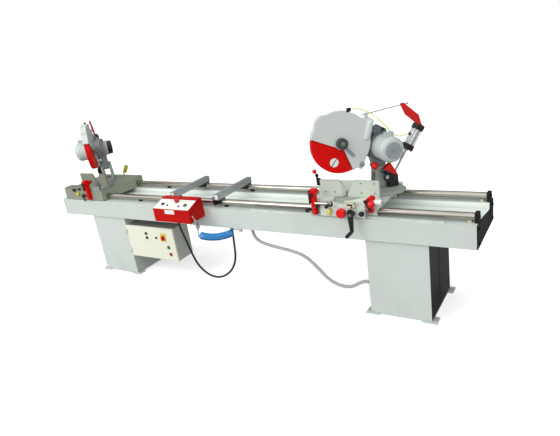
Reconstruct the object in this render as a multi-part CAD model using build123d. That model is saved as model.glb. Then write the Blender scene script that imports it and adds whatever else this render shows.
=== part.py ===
from build123d import *
import math
import os

# A double mitre saw: a folded bed on two pedestals, two round rails along it, a fixed head on the left
# and a sliding head on the right. Millimetres, X along the bed, Y away from the operator, Z up.
# The origin is on the floor, at the centre of the anchor holes.

# Bed and pedestals
BED_LENGTH = 4200.0
BED_CENTRE_X = -35.0
BED_DEPTH = 560.0
BED_HEIGHT = 168.0
PEDESTAL_HEIGHT = 618.0
PEDESTAL_WIDTH = 465.0
PEDESTAL_DEPTH = 525.0
PEDESTAL_SPACING = 3020.0
BED_SHEET = 5.0
END_PLATE = 6.0
FRONT_FLANGE = 130.0
REAR_FLANGE = 120.0
TRAY_DROP = 46.0
FOOT_LENGTH = 110.0
FOOT_WIDTH = 90.0
FOOT_THICKNESS = 10.0
FOOT_OVERHANG_X = 40.0
FOOT_OVERHANG_Y = 20.0
ANCHOR_HOLE = 14.0

# Rails and carriage drive
RAIL_DIAMETER = 50.0
RAIL_SPACING = 410.0
RAIL_RISE = 40.0
RAIL_END_GAP = 2.0
RAIL_END_BLOCK = 26.0
RAIL_END_WALL = 4.0
RAIL_POSTS = 3
RAIL_POST_PITCH = 1040.0
RAIL_POST_LENGTH = 30.0
RAIL_POST_WIDTH = 26.0
GEAR_MODULE = 4.0
TOOTH_ROOT = 1.2 * GEAR_MODULE
TOOTH_TIP = 0.9 * GEAR_MODULE
TOOTH_ROOT_SHARE = 0.21
TOOTH_TIP_SHARE = 0.11
PINION_TEETH = 15
RACK_TEETH = 123
RACK_REACH = 900.0
RACK_WIDTH = 16.0
RACK_HEIGHT = 22.0
RACK_FRONT = 14.0
CRANK_X = 84.0
CRANK_ARM = 127.0
CRANK_HEAD_RISE = 22.0
CRANK_GRIP = 92.0
CRANK_GRIP_DIAMETER = 20.0
CRANK_HUB = 40.0
CRANK_HUB_LENGTH = 36.0
CRANK_STAND_OFF = 4.0
CRANK_LEVER = 14.0
CRANK_LEVER_TOP = 44.0
CRANK_LEVER_TIP = 24.0
LOCK_KNOB = 74.0
LOCK_KNOB_LENGTH = 32.0
LOCK_KNOB_ROUNDING = 9.0
LOCK_STEM = 14.0
LOCK_GAP = 3.0
LOCK_X = -2.0
DRIVE_SHAFT = 16.0

# Clearances
RUNNING = 0.05
SIDE = 0.3
FREE = 2.0

# Head bases, measured from each head's turning axis
HEAD_Y = -158.0
RIGHT_HEAD_X = 1135.0
LEFT_HEAD_INSET = 505.0
MITRE = 45.0
RIGHT_INNER = 265.0
RIGHT_OUTER = 265.0
LEFT_INNER = 142.0
LEFT_OUTER = 430.0
BASE_THICKNESS = 34.0
BASE_TOP_RISE = 104.0
BUSH_WALL = 6.0
BUSH_LENGTH = 70.0
BUSH_SLOT = 34.0
HOUSING_WALL = 9.0
HOUSING_LENGTH = 110.0
HOUSING_INSET = 20.0
TABLE_THICKNESS = 25.0
APRON_WIDTH = 355.0
APRON_THICKNESS = 16.0
APRON_DROP = 92.0
APRON_GAP = 4.0
HOUSING_DROP = 5.0
DRIVE_REACH = 60.0
TABLE_MARGIN = 4.0
FENCE_FRONT = -30.0
FENCE_THICKNESS = 20.0
FENCE_LIFT = 1.0
FENCE_HEIGHT = 125.0
FENCE_FOOT = 26.0
# Ends of the fence halves beside the blade, and where their sloping corners start and end
FENCE_LEFT_END = 18.0
FENCE_LEFT_CORNER = 74.0
FENCE_LEFT_TOP = 60.0
FENCE_RIGHT_END = 7.0
FENCE_RIGHT_CORNER = 24.0
FENCE_RIGHT_TOP = 60.0
# How far the inner and outer fence half of each head reach
RIGHT_FENCE = (228.0, 250.0)
LEFT_FENCE = (142.0, 240.0)
SKIRT = 12.0
SKIRT_CLEAR = 4.0

# Turntable and pivot
HUB_RADIUS = 112.0
SLAB_LENGTH = 425.0
SLAB_HALF = 125.0
NECK_HALF = 78.0
NECK_LENGTH = 112.0
SPIGOT = 60.0
KERF_SLOT = 14.0
PIVOT_U = 280.0
PIVOT_Z = 1050.0
PIVOT_BOSS = 40.0
PIVOT_PIN = 30.0
CHEEK = 22.0
CHEEK_HALF = 38.0
CHEEK_FOOT_FRONT = 55.0
CHEEK_FOOT_BACK = 75.0
CHEEK_TOP = 76.0
SLAB_CORNER = 60.0
KERF_END = 70.0
KERF_DEPTH = 10.0
BRACKET_FRONT = 60.0
BRACKET_BACK = 22.0
BRACKET_GAP = 8.0
BRACKET_LAP = 10.0

# Saw head, in its own frame: x out of the blade plane, y along the blade to the back
BLADE_DIAMETER = 400.0
BLADE_THICKNESS = 3.2
BLADE_TEETH = 60
TOOTH_DEPTH = 7.0
TOOTH_ROOT_PLACE = 0.8
SPINDLE_U = -30.0
SPINDLE_Z = 1320.0
SPINDLE_SHAFT = 30.0
SPINDLE_END = 22.0
BLADE_FLANGE = 44.0
BLADE_FLANGE_THICKNESS = 8.0
GUARD_GAP = 25.0
GUARD_HALF = 28.0
GUARD_WALL = 4.0
LOWER_GUARD_HALF = 21.0
LOWER_GUARD_WALL = 3.0
LOWER_GUARD_BORE = 52.0
LOWER_GUARD_HUB = 92.0
SLEEVE_LENGTH = 7.0
OPEN_FROM = 163.0
OPEN_TO = 289.0
OPEN_CORNER = (19.6, -53.9)
OPEN_GAP = 1.0
# Corners of the guard's casing as rounds: place u, place z, radius
CASING_ROUNDS = ((-135.0, 1466.0, 68.0), (222.0, 1438.0, 12.0), (144.0, 1190.0, 10.0), (104.0, 1118.0, 14.0))
CASING_WALL = 9.0
CASING_ROUNDING = 8.0
REAR_EDGE_U = 192.0
REAR_EDGE_Z = 1312.0
HUB_CAP = 76.0
RIGHT_HUB_CAP_LENGTH = 44.0
LEFT_HUB_CAP_LENGTH = 12.0
HUB_RING = 8.0
GUARD_BOSS_STEP = 6.0
GUARD_LEVER = (112.0, 22.0, 6.0)
GUARD_LEVER_PLACE = 86.0
GUARD_LEVER_ANGLE = -51.0
GUARD_LEVER_THICKNESS = 7.0
NOZZLE_U = 60.0
NOZZLE_FOOT_Z = 1510.0
NOZZLE_Z = 1531.0
NOZZLE_DIAMETER = 22.0
NOZZLE_HALF = 9.0
NOZZLE_REACH = 14.0
NOZZLE_HEIGHT = 22.0
MOTOR_U = 293.0
MOTOR_Z = 1234.0
MOTOR_BODY = 186.0
MOTOR_FLANGE = 212.0
MOTOR_FLANGE_THICKNESS = 15.0
MOTOR_RIM = 3.0
MOTOR_LENGTH = 171.0
MOTOR_ROUNDING = 33.0
MOTOR_END_DISC = 114.0
MOTOR_END_DISC_THICKNESS = 4.0
TERMINAL_BOX_WIDTH = 56.0
TERMINAL_BOX_LENGTH = 50.0
TERMINAL_BOX_START = 86.0
TERMINAL_BOX_RISE = 26.0
MOTOR_SHAFT = 28.0
MOTOR_PULLEY = 80.0
SPINDLE_PULLEY = 64.0
BELT_THICKNESS = 6.0
BELT_WIDTH = 24.0
BELT_INSET = 1.0
ARM_GAP = 9.0
ARM_DEPTH = 58.0
TAIL_DEPTH = 24.0
TAIL_ROUND = 50.0
CYLINDER_SPACER = 30.0
ARM_WALL = 8.0
ARM_LID = 4.0
MOTOR_PAD_FACE = 5.0
DRUM_DIAMETER = 150.0
DRUM_LENGTH = 37.0
# Corners of the arm's shoulder, seen from the motor's axis
SHOULDER_CORNERS = ((-58.0, 0.0), (-53.0, 152.0), (-23.0, 164.0), (42.0, 122.0), (62.0, 0.0))
DRUM_CAP = 34.0
DRUM_RIM = 20.0
DRUM_CAP_STEP = 12.0
PULLEY_ROOM = 20.0

# Air cylinder that swings the arm
CYLINDER_U = 494.0
CYLINDER_Z = 1192.0
CYLINDER_ANGLE = 55.1
CYLINDER_LENGTH = 158.0
CYLINDER_BORE = 48.0
CYLINDER_TUBE = 58.0
CYLINDER_CAP = 70.0
CYLINDER_CAP_THICKNESS = 40.0
CYLINDER_CAP_ROUNDING = 7.0
PORT_U = 505.0
PORT_Z = 1287.0
PORT_LENGTH = 35.0
PORT_DIAMETER = 14.0
PISTON_LENGTH = 18.0
PISTON_PLACE = 12.0
ROD_LAP = 3.0
ROD_DIAMETER = 16.0
ROD_REACH = 211.2
ROD_EYE = 34.0
ROD_EYE_BORE = 18.0
ROD_EYE_WIDTH = 14.0
CLEVIS_PLATE = 9.0
CLEVIS_PIN = 8.0
STAY_DIAMETER = 7.0
STAY_BACK = (0.0, 505.0, 1510.0)
STAY_FRONT = (0.0, 150.0, 1486.0)
STAY_PLATE_HALF = 6.0
STAY_SEAT = 6.0
STAY_SEAT_STEP = 14.0
# Lower and upper round of the ear that holds the stay: place u, place z, diameter
STAY_LUG = ((190.0, 1458.0, 26.0), (190.0, 1488.7, 20.0))
STAY_LUG_SIDES = (-10.0, 8.0)

# Work clamps
CLAMP_LEG = 34.0
CLAMP_LEG_DEPTH = 38.0
CLAMP_ROUNDING = 12.0
CLAMP_BODY = 46.0
CLAMP_BODY_FRONT = 52.0
CLAMP_BODY_NOSE = 22.0
CLAMP_BODY_END = 8.0
CLAMP_ROD = 14.0
CLAMP_ROD_FRONT = 40.0
CLAMP_ROD_NOSE = 34.0
CLAMP_PAD = 30.0
CLAMP_PAD_THICKNESS = 8.0
# Place along the fence, rod over the table, top of the leg over the rod, bottom of the leg under the table
RIGHT_CLAMPS = ((-220.0, 60.0, 34.0, 109.0), (222.0, 24.0, 10.0, 70.0))
LEFT_CLAMPS = ((32.0, 60.0, 34.0, 109.0),)

# Electric cabinet and control box
CABINET_GAP = 15.5
CABINET_WIDTH = 622.0
CABINET_BOTTOM = 220.0
CABINET_HEIGHT = 327.0
CABINET_DEPTH = 190.0
CABINET_SHEET = 3.0
DOOR_THICKNESS = 20.0
DOOR_GAP = 0.6
DOOR_EDGE = 12.0
HINGE_KNUCKLE = 12.0
HINGE_PIN = 6.0
HINGE_INSET = 60.0
HINGE_LENGTH = 24.0
HINGE_LEAF = 20.0
BUTTON_DIAMETER = 22.0
BUTTON_TRAVEL = 5.0
BUTTON_STEM = 0.6 * BUTTON_DIAMETER
COLLAR_WALL = 4.0
COLLAR_GAP = 0.5
COLLAR_HEIGHT = 5.0
STOP_HEAD = 40.0
STOP_HEAD_HEIGHT = 14.0
# Fittings on the door: distance from its left edge, height above its bottom
SWITCH_PLACE = (488.0, 232.0)
START_PLACE = (530.0, 136.0)
STOP_PLACE = (540.0, 66.0)
LAMP_PLACES = ((268.0, 262.0), (270.0, 218.0))
DOOR_LOCK_PLACE = (396.0, 226.0)
SWITCH_PLATE_HALF = 32.0
SWITCH_PLATE_TOP = 44.0
SWITCH_PLATE = 3.0
SWITCH_KNOB = 46.0
SWITCH_KNOB_LENGTH = 10.0
SWITCH_HANDLE = (7.0, 13.0, 21.0)
LAMP_DIAMETER = 24.0
LAMP_LENGTH = 9.0
DOOR_LOCK = 18.0
DOOR_LOCK_LENGTH = 7.0
# Buttons on the control box: distance from its left side, distance up the slope
BOX_BUTTONS = {"left": (76.0, 62.0), "right": (334.0, 62.0), "stop": (214.0, 104.0)}
CABINET_ARM_INSET = 70.0
CABINET_ARM_HALF = 18.0
CABINET_ARM_MARGIN = 20.0
GEAR_PLATE_HALF = 240.0
GEAR_PLATE = 8.0
GEAR_PLATE_MARGIN = 40.0
CONTACTORS = 4
CONTACTOR_PITCH = 100.0
CONTACTOR_WIDTH = 72.0
CONTACTOR_DEPTH = 82.0
CONTACTOR_HEIGHT = 95.0
CONTACTOR_START = 50.0
CONTACTOR_RISE = 150.0
BOX_LEFT = -605.0
BOX_WIDTH = 410.0
BOX_BOTTOM = 715.0
BOX_DEPTH = 195.0
BOX_FRONT_HEIGHT = 116.0
BOX_SLOPE_DEPTH = 129.0
BOX_SLOPE_RISE = 49.0
BOX_BACK_RISE = 10.0
BOX_SHEET = 3.0
PANEL_MARGIN = 10.0
PANEL_SHEET = 3.0
PANEL_ROUNDING = 3.0
BOX_BACK_STEP = 8.0
PANEL_STEM_DEPTH = 14.0

# Support arms across the rails
SUPPORT_LENGTH = 512.0
SUPPORT_WIDTH = 78.0
SUPPORT_HEIGHT = 52.0
SUPPORT_WALL = 6.0
SUPPORT_LEDGE = 34.0
SUPPORT_CLEAR = 5.0
LEFT_SUPPORT_X = -570.0
RIGHT_SUPPORT_X = -70.0
SUPPORT_LIP = 18.0
SUPPORT_SHOE = 80.0
SHOE_WALL = 14.0
SHOE_GRIP = 8.0
KNOB_DIAMETER = 34.0
KNOB_LENGTH = 16.0
KNOB_STEM = 14.0
KNOB_STEM_LENGTH = 6.0
KNOB_RISE = 2.0

# Cords and hoses
CABLE_DIAMETER = 18.0
CABLE_TOP = (-412.0, -400.0)
CABLE_END = (60.0, -262.0)
HOSE_DIAMETER = 26.0
HOSE_X = 225.0
HOSE_Y = -200.0
HOSE_Z = 236.0
AIR_HOSE_DIAMETER = 8.0
COIL_TUBE = 8.0
COIL_DIAMETER = 64.0
COIL_TURNS = 30
COIL_LINE = ((-186.0, -392.0, 576.0), (-40.0, -360.0, 562.0), (98.0, -316.0, 596.0))
ELBOW_FACE = (134.0, -262.0, 600.0)
ELBOW_SIZE = 28.0
GUN_HEAD = (-174.0, -440.0, 735.0)
GUN_TAIL = (-196.0, -404.0, 640.0)
GUN_BODY = 22.0
GUN_NOZZLE = 9.0
GUN_NOZZLE_LENGTH = 58.0
GUN_NOZZLE_WAY = (0.15, -0.5, 0.86)
GUN_LUG = (12.0, 3.0, 12.0)
GUN_PIN = 4.0
GUN_CLIP = 10.0
GUN_CLIP_WALL = 4.0
GUN_CLIP_PLACE = 26.0
GUN_CLIP_HALF = 6.0
LEVER_WIDTH = 10.0
LEVER_PIVOT = 12.0
LEVER_PIVOT_OUT = 5.0
LEVER_TOP = 8.0
LEVER_END = 80.0
GLAND_LENGTH = 22.0
GLAND_CLEAR = 1.0
GLAND_SIZE = 1.7
WIDE_GLAND = 1.3

# Sizes that follow
BED_BOTTOM = PEDESTAL_HEIGHT
BED_TOP = BED_BOTTOM + BED_HEIGHT
BED_FRONT = -BED_DEPTH / 2
BED_BACK = BED_DEPTH / 2
BED_LEFT = BED_CENTRE_X - BED_LENGTH / 2
BED_RIGHT = BED_CENTRE_X + BED_LENGTH / 2
LEFT_HEAD_X = BED_LEFT + LEFT_HEAD_INSET
RAIL_Z = BED_TOP + RAIL_RISE
RAIL_Y = RAIL_SPACING / 2
BASE_TOP = BED_TOP + BASE_TOP_RISE
BASE_BOTTOM = BASE_TOP - BASE_THICKNESS
TABLE_TOP = BASE_TOP + TABLE_THICKNESS
BASE_DEPTH = BED_DEPTH
PINION_RADIUS = GEAR_MODULE * PINION_TEETH / 2
RACK_PITCH_Z = BED_TOP + RACK_HEIGHT - GEAR_MODULE
CRANK_Z = RACK_PITCH_Z + PINION_RADIUS
LOCK_Z = CRANK_Z
RACK_Y = BED_FRONT + RACK_FRONT + RACK_WIDTH / 2
APRON_FRONT = BED_FRONT - APRON_THICKNESS - APRON_GAP
GUARD_RADIUS = BLADE_DIAMETER / 2 + GUARD_GAP
ARM_FACE = -GUARD_HALF - ARM_GAP
ARM_BACK = ARM_FACE - ARM_DEPTH
PULLEY_MIDDLE = ARM_BACK + (ARM_DEPTH - ARM_WALL) / 2
SPINDLE_BOSS = SPINDLE_PULLEY / 2 + BELT_THICKNESS + FREE + ARM_WALL
MOTOR_BOSS = MOTOR_FLANGE / 2 - MOTOR_RIM
CABINET_LEFT = PEDESTAL_WIDTH / 2 - PEDESTAL_SPACING / 2 + CABINET_GAP
CABINET_FRONT = BED_FRONT + DOOR_THICKNESS
BOX_FRONT = BED_FRONT - BOX_DEPTH
PANEL_TILT = math.degrees(math.atan2(BOX_SLOPE_RISE, BOX_SLOPE_DEPTH))
CYLINDER_DIRECTION = (math.cos(math.radians(CYLINDER_ANGLE)), math.sin(math.radians(CYLINDER_ANGLE)))
ROD_END_U = CYLINDER_U - ROD_REACH * CYLINDER_DIRECTION[0]
ROD_END_Z = CYLINDER_Z - ROD_REACH * CYLINDER_DIRECTION[1]


# Small building blocks

def block(x0, x1, y0, y1, z0, z1):
    return Pos((x0 + x1) / 2, (y0 + y1) / 2, (z0 + z1) / 2) * Box(x1 - x0, y1 - y0, z1 - z0)


def bar(start, end, diameter):
    start = Vector(*start)
    end = Vector(*end)
    plane = Plane(origin=start, z_dir=end - start)
    return extrude(plane * Circle(diameter / 2), amount=(end - start).length)


def tube(start, end, outer, inner):
    return bar(start, end, outer) - bar(start, end, inner)


def polygon(points):
    return make_face(Polyline(*points, close=True))


def across(sketch, x0, x1):
    # A sketch drawn in the plane of the blade (along, up), from one distance out of that plane to another
    return extrude(Plane.YZ.offset(x0) * sketch, amount=x1 - x0)


def round_at(along, up, diameter):
    return Pos(along, up) * Circle(diameter / 2)


def hull_of(*rounds):
    edges = [edge for sketch in rounds for edge in sketch.edges()]
    return make_hull(edges)


def sector(radius, start, end):
    # A pie slice about the origin, between two angles in degrees
    steps = max(2, math.ceil((end - start) / 60))
    reach = radius / math.cos(math.radians((end - start) / steps / 2)) * 1.05
    angles = [math.radians(start + (end - start) * i / steps) for i in range(steps + 1)]
    corners = [(0, 0)] + [(reach * math.cos(a), reach * math.sin(a)) for a in angles]
    return polygon(corners) & Circle(radius)


def save(name, *shapes):
    solids = [solid for shape in shapes for solid in shape.solids()]
    export_step(Compound(children=solids) if len(solids) > 1 else solids[0], f"parts/{name}.step")


# Bed, pedestals and rails

def bed_section(inset):
    # The folded section of the bed: two flanges with a sloping chip tray between them
    tray_front = BED_FRONT + FRONT_FLANGE
    tray_back = BED_BACK - REAR_FLANGE
    outline = [
        (BED_FRONT, BED_BOTTOM), (BED_FRONT, BED_TOP), (tray_front, BED_TOP),
        (tray_back, BED_TOP - TRAY_DROP), (tray_back, BED_TOP), (BED_BACK, BED_TOP), (BED_BACK, BED_BOTTOM),
    ]
    face = polygon(outline)
    return offset(face, -inset, kind=Kind.INTERSECTION) if inset else face


def bed_trough():
    length = BED_LENGTH - 2 * END_PLATE
    start = BED_LEFT + END_PLATE
    return across(bed_section(0) - bed_section(BED_SHEET), start, start + length)


def bed_end_plates():
    left = across(bed_section(0), BED_LEFT, BED_LEFT + END_PLATE)
    right = across(bed_section(0), BED_RIGHT - END_PLATE, BED_RIGHT)
    return [left, right]


def pedestal(centre_x):
    half = PEDESTAL_WIDTH / 2
    deep = PEDESTAL_DEPTH / 2
    shell = block(centre_x - half, centre_x + half, -deep, deep, 0, PEDESTAL_HEIGHT)
    shell -= block(centre_x - half + BED_SHEET, centre_x + half - BED_SHEET,
                   -deep + BED_SHEET, deep - BED_SHEET, 0, PEDESTAL_HEIGHT - BED_SHEET)
    for side in (-1, 1):
        for end in (-1, 1):
            outer_x = centre_x + side * (half + FOOT_OVERHANG_X)
            outer_y = end * (deep + FOOT_OVERHANG_Y)
            foot = Pos(outer_x - side * FOOT_LENGTH / 2, outer_y - end * FOOT_WIDTH / 2, FOOT_THICKNESS / 2)
            shell += foot * Box(FOOT_LENGTH, FOOT_WIDTH, FOOT_THICKNESS)
            hole_x = outer_x - side * FOOT_OVERHANG_X / 2
            hole_y = outer_y - end * FOOT_WIDTH / 2
            shell -= bar((hole_x, hole_y, 0), (hole_x, hole_y, FOOT_THICKNESS), ANCHOR_HOLE)
    return shell


def guide_rails():
    start = BED_LEFT + RAIL_END_GAP + RAIL_END_BLOCK / 2
    end = BED_RIGHT - RAIL_END_GAP - RAIL_END_BLOCK / 2
    return [bar((start, y, RAIL_Z), (end, y, RAIL_Z), RAIL_DIAMETER) for y in (-RAIL_Y, RAIL_Y)]


def rail_holders():
    # End blocks that hold both rails, and the low posts under them
    pieces = []
    for y in (-RAIL_Y, RAIL_Y):
        for x in (BED_LEFT + RAIL_END_GAP, BED_RIGHT - RAIL_END_GAP - RAIL_END_BLOCK):
            half = RAIL_DIAMETER / 2 + RAIL_END_WALL
            holder = block(x, x + RAIL_END_BLOCK, y - half, y + half, BED_TOP, RAIL_Z + half)
            inward = 0 if x > BED_CENTRE_X else RAIL_END_BLOCK / 2
            socket_end = x + inward + RAIL_END_BLOCK / 2
            holder -= bar((x + inward, y, RAIL_Z), (socket_end, y, RAIL_Z), RAIL_DIAMETER)
            pieces.append(holder)
        for index in range(RAIL_POSTS):
            x = -RAIL_POST_PITCH + index * RAIL_POST_PITCH - RAIL_POST_LENGTH / 2
            post = block(x, x + RAIL_POST_LENGTH, y - RAIL_POST_WIDTH / 2, y + RAIL_POST_WIDTH / 2,
                         BED_TOP, RAIL_Z)
            post -= bar((x, y, RAIL_Z), (x + RAIL_POST_LENGTH, y, RAIL_Z), RAIL_DIAMETER)
            pieces.append(post)
    return pieces


def tooth_profile(step):
    # One tooth from root to root: distance along the pitch line and height over it
    return [(-TOOTH_ROOT_SHARE * step, -TOOTH_ROOT), (-TOOTH_TIP_SHARE * step, TOOTH_TIP),
            (TOOTH_TIP_SHARE * step, TOOTH_TIP), (TOOTH_ROOT_SHARE * step, -TOOTH_ROOT)]


def gear_rack():
    # A tooth space stands under the pinion's axis
    step = math.pi * GEAR_MODULE
    crank_x = RIGHT_HEAD_X + CRANK_X
    first = crank_x - (round(RACK_REACH / step) + 0.5) * step
    last = first + (RACK_TEETH - 1) * step
    root = RACK_PITCH_Z - TOOTH_ROOT
    points = [(first - step, BED_TOP), (first - step, root)]
    for index in range(RACK_TEETH):
        centre = first + index * step
        points += [(centre + along, RACK_PITCH_Z + up) for along, up in tooth_profile(step)]
    points += [(last + step, root), (last + step, BED_TOP)]
    face = Plane.XZ.offset(-(RACK_Y - RACK_WIDTH / 2)) * polygon(points)
    return extrude(face, amount=-RACK_WIDTH)


def pinion():
    # A tooth points straight down into the rack's space
    step = 2 * math.pi * PINION_RADIUS / PINION_TEETH
    points = []
    for index in range(PINION_TEETH):
        middle = -math.pi / 2 + 2 * math.pi * index / PINION_TEETH
        for along, up in tooth_profile(step):
            angle = middle + along / PINION_RADIUS
            reach = PINION_RADIUS + up
            points.append((reach * math.cos(angle), reach * math.sin(angle)))
    return polygon(points)


# Head bases and what stands on them. Drawn for the right head about its turning axis, inner side at -x.

def rail_places():
    return (-RAIL_Y - HEAD_Y, RAIL_Y - HEAD_Y)


def base_plate(inner, outer):
    front = BED_FRONT - HEAD_Y
    plate = block(-inner, outer, front, front + BASE_DEPTH, BASE_BOTTOM, BASE_TOP)
    return plate - bar((0, 0, BASE_BOTTOM), (0, 0, BASE_TOP), SPIGOT + 2 * RUNNING)


def table_plates(inner, outer):
    # Fixed plates in front of the fence, on both sides of the sector that the blade sweeps
    front = BED_FRONT - HEAD_Y
    back = FENCE_FRONT
    margin = KERF_SLOT + TABLE_MARGIN
    right = polygon([(margin, front), (outer, front), (outer, back), (margin, back)])
    left = polygon([(-inner, front), (front - margin, front), (back - margin, back), (-inner, back)])
    ring = Circle(HUB_RADIUS + FREE)
    on_base = Plane.XY.offset(BASE_TOP)
    return [extrude(on_base * (plate - ring), amount=TABLE_THICKNESS) for plate in (left, right)]


def housing_places(inner, outer):
    half = HOUSING_LENGTH / 2 + HOUSING_INSET
    return (-inner + half, outer - half)


def rail_housing(x, y, bottom, bore):
    half = RAIL_DIAMETER / 2 + BUSH_WALL + HOUSING_WALL
    body = block(x - HOUSING_LENGTH / 2, x + HOUSING_LENGTH / 2, y - half, y + half, bottom, BASE_BOTTOM)
    return body - bar((x - HOUSING_LENGTH / 2, y, RAIL_Z), (x + HOUSING_LENGTH / 2, y, RAIL_Z), bore)


def fence_half(side, reach, end, corner, corner_top):
    # One half on a foot at its far end. The corner beside the blade slopes, to clear the guard.
    bottom = TABLE_TOP + FENCE_LIFT
    top = bottom + FENCE_HEIGHT
    foot = reach - FENCE_FOOT
    outline = [(end, bottom), (end, bottom + corner), (corner_top, top), (reach, top), (reach, BASE_TOP),
               (foot, BASE_TOP), (foot, bottom)]
    face = Plane.XZ.offset(-FENCE_FRONT) * polygon([(side * x, z) for x, z in outline])
    return extrude(face, amount=-FENCE_THICKNESS)


def fence(inner, outer):
    # The inner half's end is cut at the mitre, beside the blade
    left = fence_half(-1, inner, FENCE_LEFT_END, FENCE_LEFT_CORNER, FENCE_LEFT_TOP)
    back = FENCE_FRONT + FENCE_THICKNESS
    wedge = polygon([(-FENCE_LEFT_END, back), (-FENCE_LEFT_END, FENCE_FRONT),
                     (-FENCE_LEFT_END - FENCE_THICKNESS, FENCE_FRONT)])
    left -= extrude(Plane.XY.offset(TABLE_TOP) * wedge, amount=FENCE_LIFT + FENCE_HEIGHT)
    return [left, fence_half(1, outer, FENCE_RIGHT_END, FENCE_RIGHT_CORNER, FENCE_RIGHT_TOP)]


def clamp_bodies(places):
    # Brackets on the front edge of the base, each with a short cylinder that points at the fence
    front = BED_FRONT - HEAD_Y
    nose = front + CLAMP_BODY_NOSE
    pieces = []
    for x, rise, above, below in places:
        height = TABLE_TOP + rise
        leg = block(x - CLAMP_LEG / 2, x + CLAMP_LEG / 2, front - CLAMP_LEG_DEPTH, front,
                    TABLE_TOP - below, height + above)
        leg = fillet(leg.edges().filter_by(Axis.X), CLAMP_ROUNDING)
        start = front - CLAMP_BODY_FRONT
        body = bar((x, start, height), (x, nose, height), CLAMP_BODY)
        bore = bar((x, start + CLAMP_BODY_END, height), (x, nose, height), CLAMP_ROD + 2 * RUNNING)
        pieces.append(leg + body - bore)
    return pieces


def clamp_rods(places):
    front = BED_FRONT - HEAD_Y
    nose = front + CLAMP_ROD_NOSE
    pieces = []
    for x, rise, above, below in places:
        height = TABLE_TOP + rise
        rod = bar((x, front - CLAMP_ROD_FRONT, height), (x, nose, height), CLAMP_ROD)
        pad = bar((x, nose, height), (x, nose + CLAMP_PAD_THICKNESS, height), CLAMP_PAD)
        pieces.append(rod + pad)
    return pieces


# The turning part and the saw head, drawn in the head's own frame

def turntable():
    bottom = BASE_TOP + SIDE
    top = TABLE_TOP
    wide_front = NECK_LENGTH + SLAB_CORNER
    wide_back = SLAB_LENGTH - SLAB_CORNER
    half_outline = [(NECK_HALF, 0), (NECK_HALF, NECK_LENGTH), (SLAB_HALF, wide_front), (SLAB_HALF, wide_back),
                    (NECK_HALF, SLAB_LENGTH)]
    slab = Circle(HUB_RADIUS)
    slab += polygon(half_outline + [(-x, y) for x, y in reversed(half_outline)])
    body = extrude(Plane.XY.offset(bottom) * slab, amount=top - bottom)
    body += bar((0, 0, BASE_BOTTOM), (0, 0, bottom), SPIGOT)
    body -= block(-KERF_SLOT / 2, KERF_SLOT / 2, -HUB_RADIUS, KERF_END, BASE_TOP - KERF_DEPTH, top)
    cheek_side = polygon([(PIVOT_U - CHEEK_FOOT_FRONT, top), (PIVOT_U - CHEEK_HALF, PIVOT_Z),
                          (PIVOT_U + CHEEK_HALF, PIVOT_Z), (PIVOT_U + CHEEK_FOOT_BACK, top)])
    cheek_side += round_at(PIVOT_U, PIVOT_Z, CHEEK_TOP)
    front_cheek = ARM_FACE + SIDE
    back_cheek = ARM_BACK - ARM_LID - SIDE - CHEEK
    for start in (front_cheek, back_cheek):
        body += across(cheek_side, start, start + CHEEK)
    pin = bar((back_cheek, PIVOT_U, PIVOT_Z), (front_cheek + CHEEK, PIVOT_U, PIVOT_Z), PIVOT_PIN)
    return body + pin + rod_bracket(top)


def rod_bracket(bottom):
    # A post with two triangular plates that straddle the end of the piston rod
    half = ROD_EYE_WIDTH / 2 + FREE
    outer = half + CLEVIS_PLATE
    front = ROD_END_U - BRACKET_FRONT
    back = ROD_END_U + BRACKET_BACK
    post_top = ROD_END_Z - ROD_EYE / 2 - BRACKET_GAP
    post = block(-outer, outer, front, back, bottom, post_top)
    side = polygon([(front - 32, ROD_END_Z + 40), (front + 28, ROD_END_Z + 86), (back, ROD_END_Z - 16),
                    (back, post_top - BRACKET_LAP), (front, post_top - BRACKET_LAP)])
    plates = across(side, -outer, -half) + across(side, half, outer)
    pin = bar((-outer, ROD_END_U, ROD_END_Z), (outer, ROD_END_U, ROD_END_Z), CLEVIS_PIN)
    return post + plates + pin


def arm_outline():
    beam = hull_of(round_at(SPINDLE_U, SPINDLE_Z, 2 * SPINDLE_BOSS),
                   round_at(MOTOR_U, MOTOR_Z, 2 * MOTOR_BOSS))
    leg = hull_of(round_at(MOTOR_U - 20, MOTOR_Z, 150.0), round_at(PIVOT_U, PIVOT_Z, 2 * PIVOT_BOSS))
    return beam + leg


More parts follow.
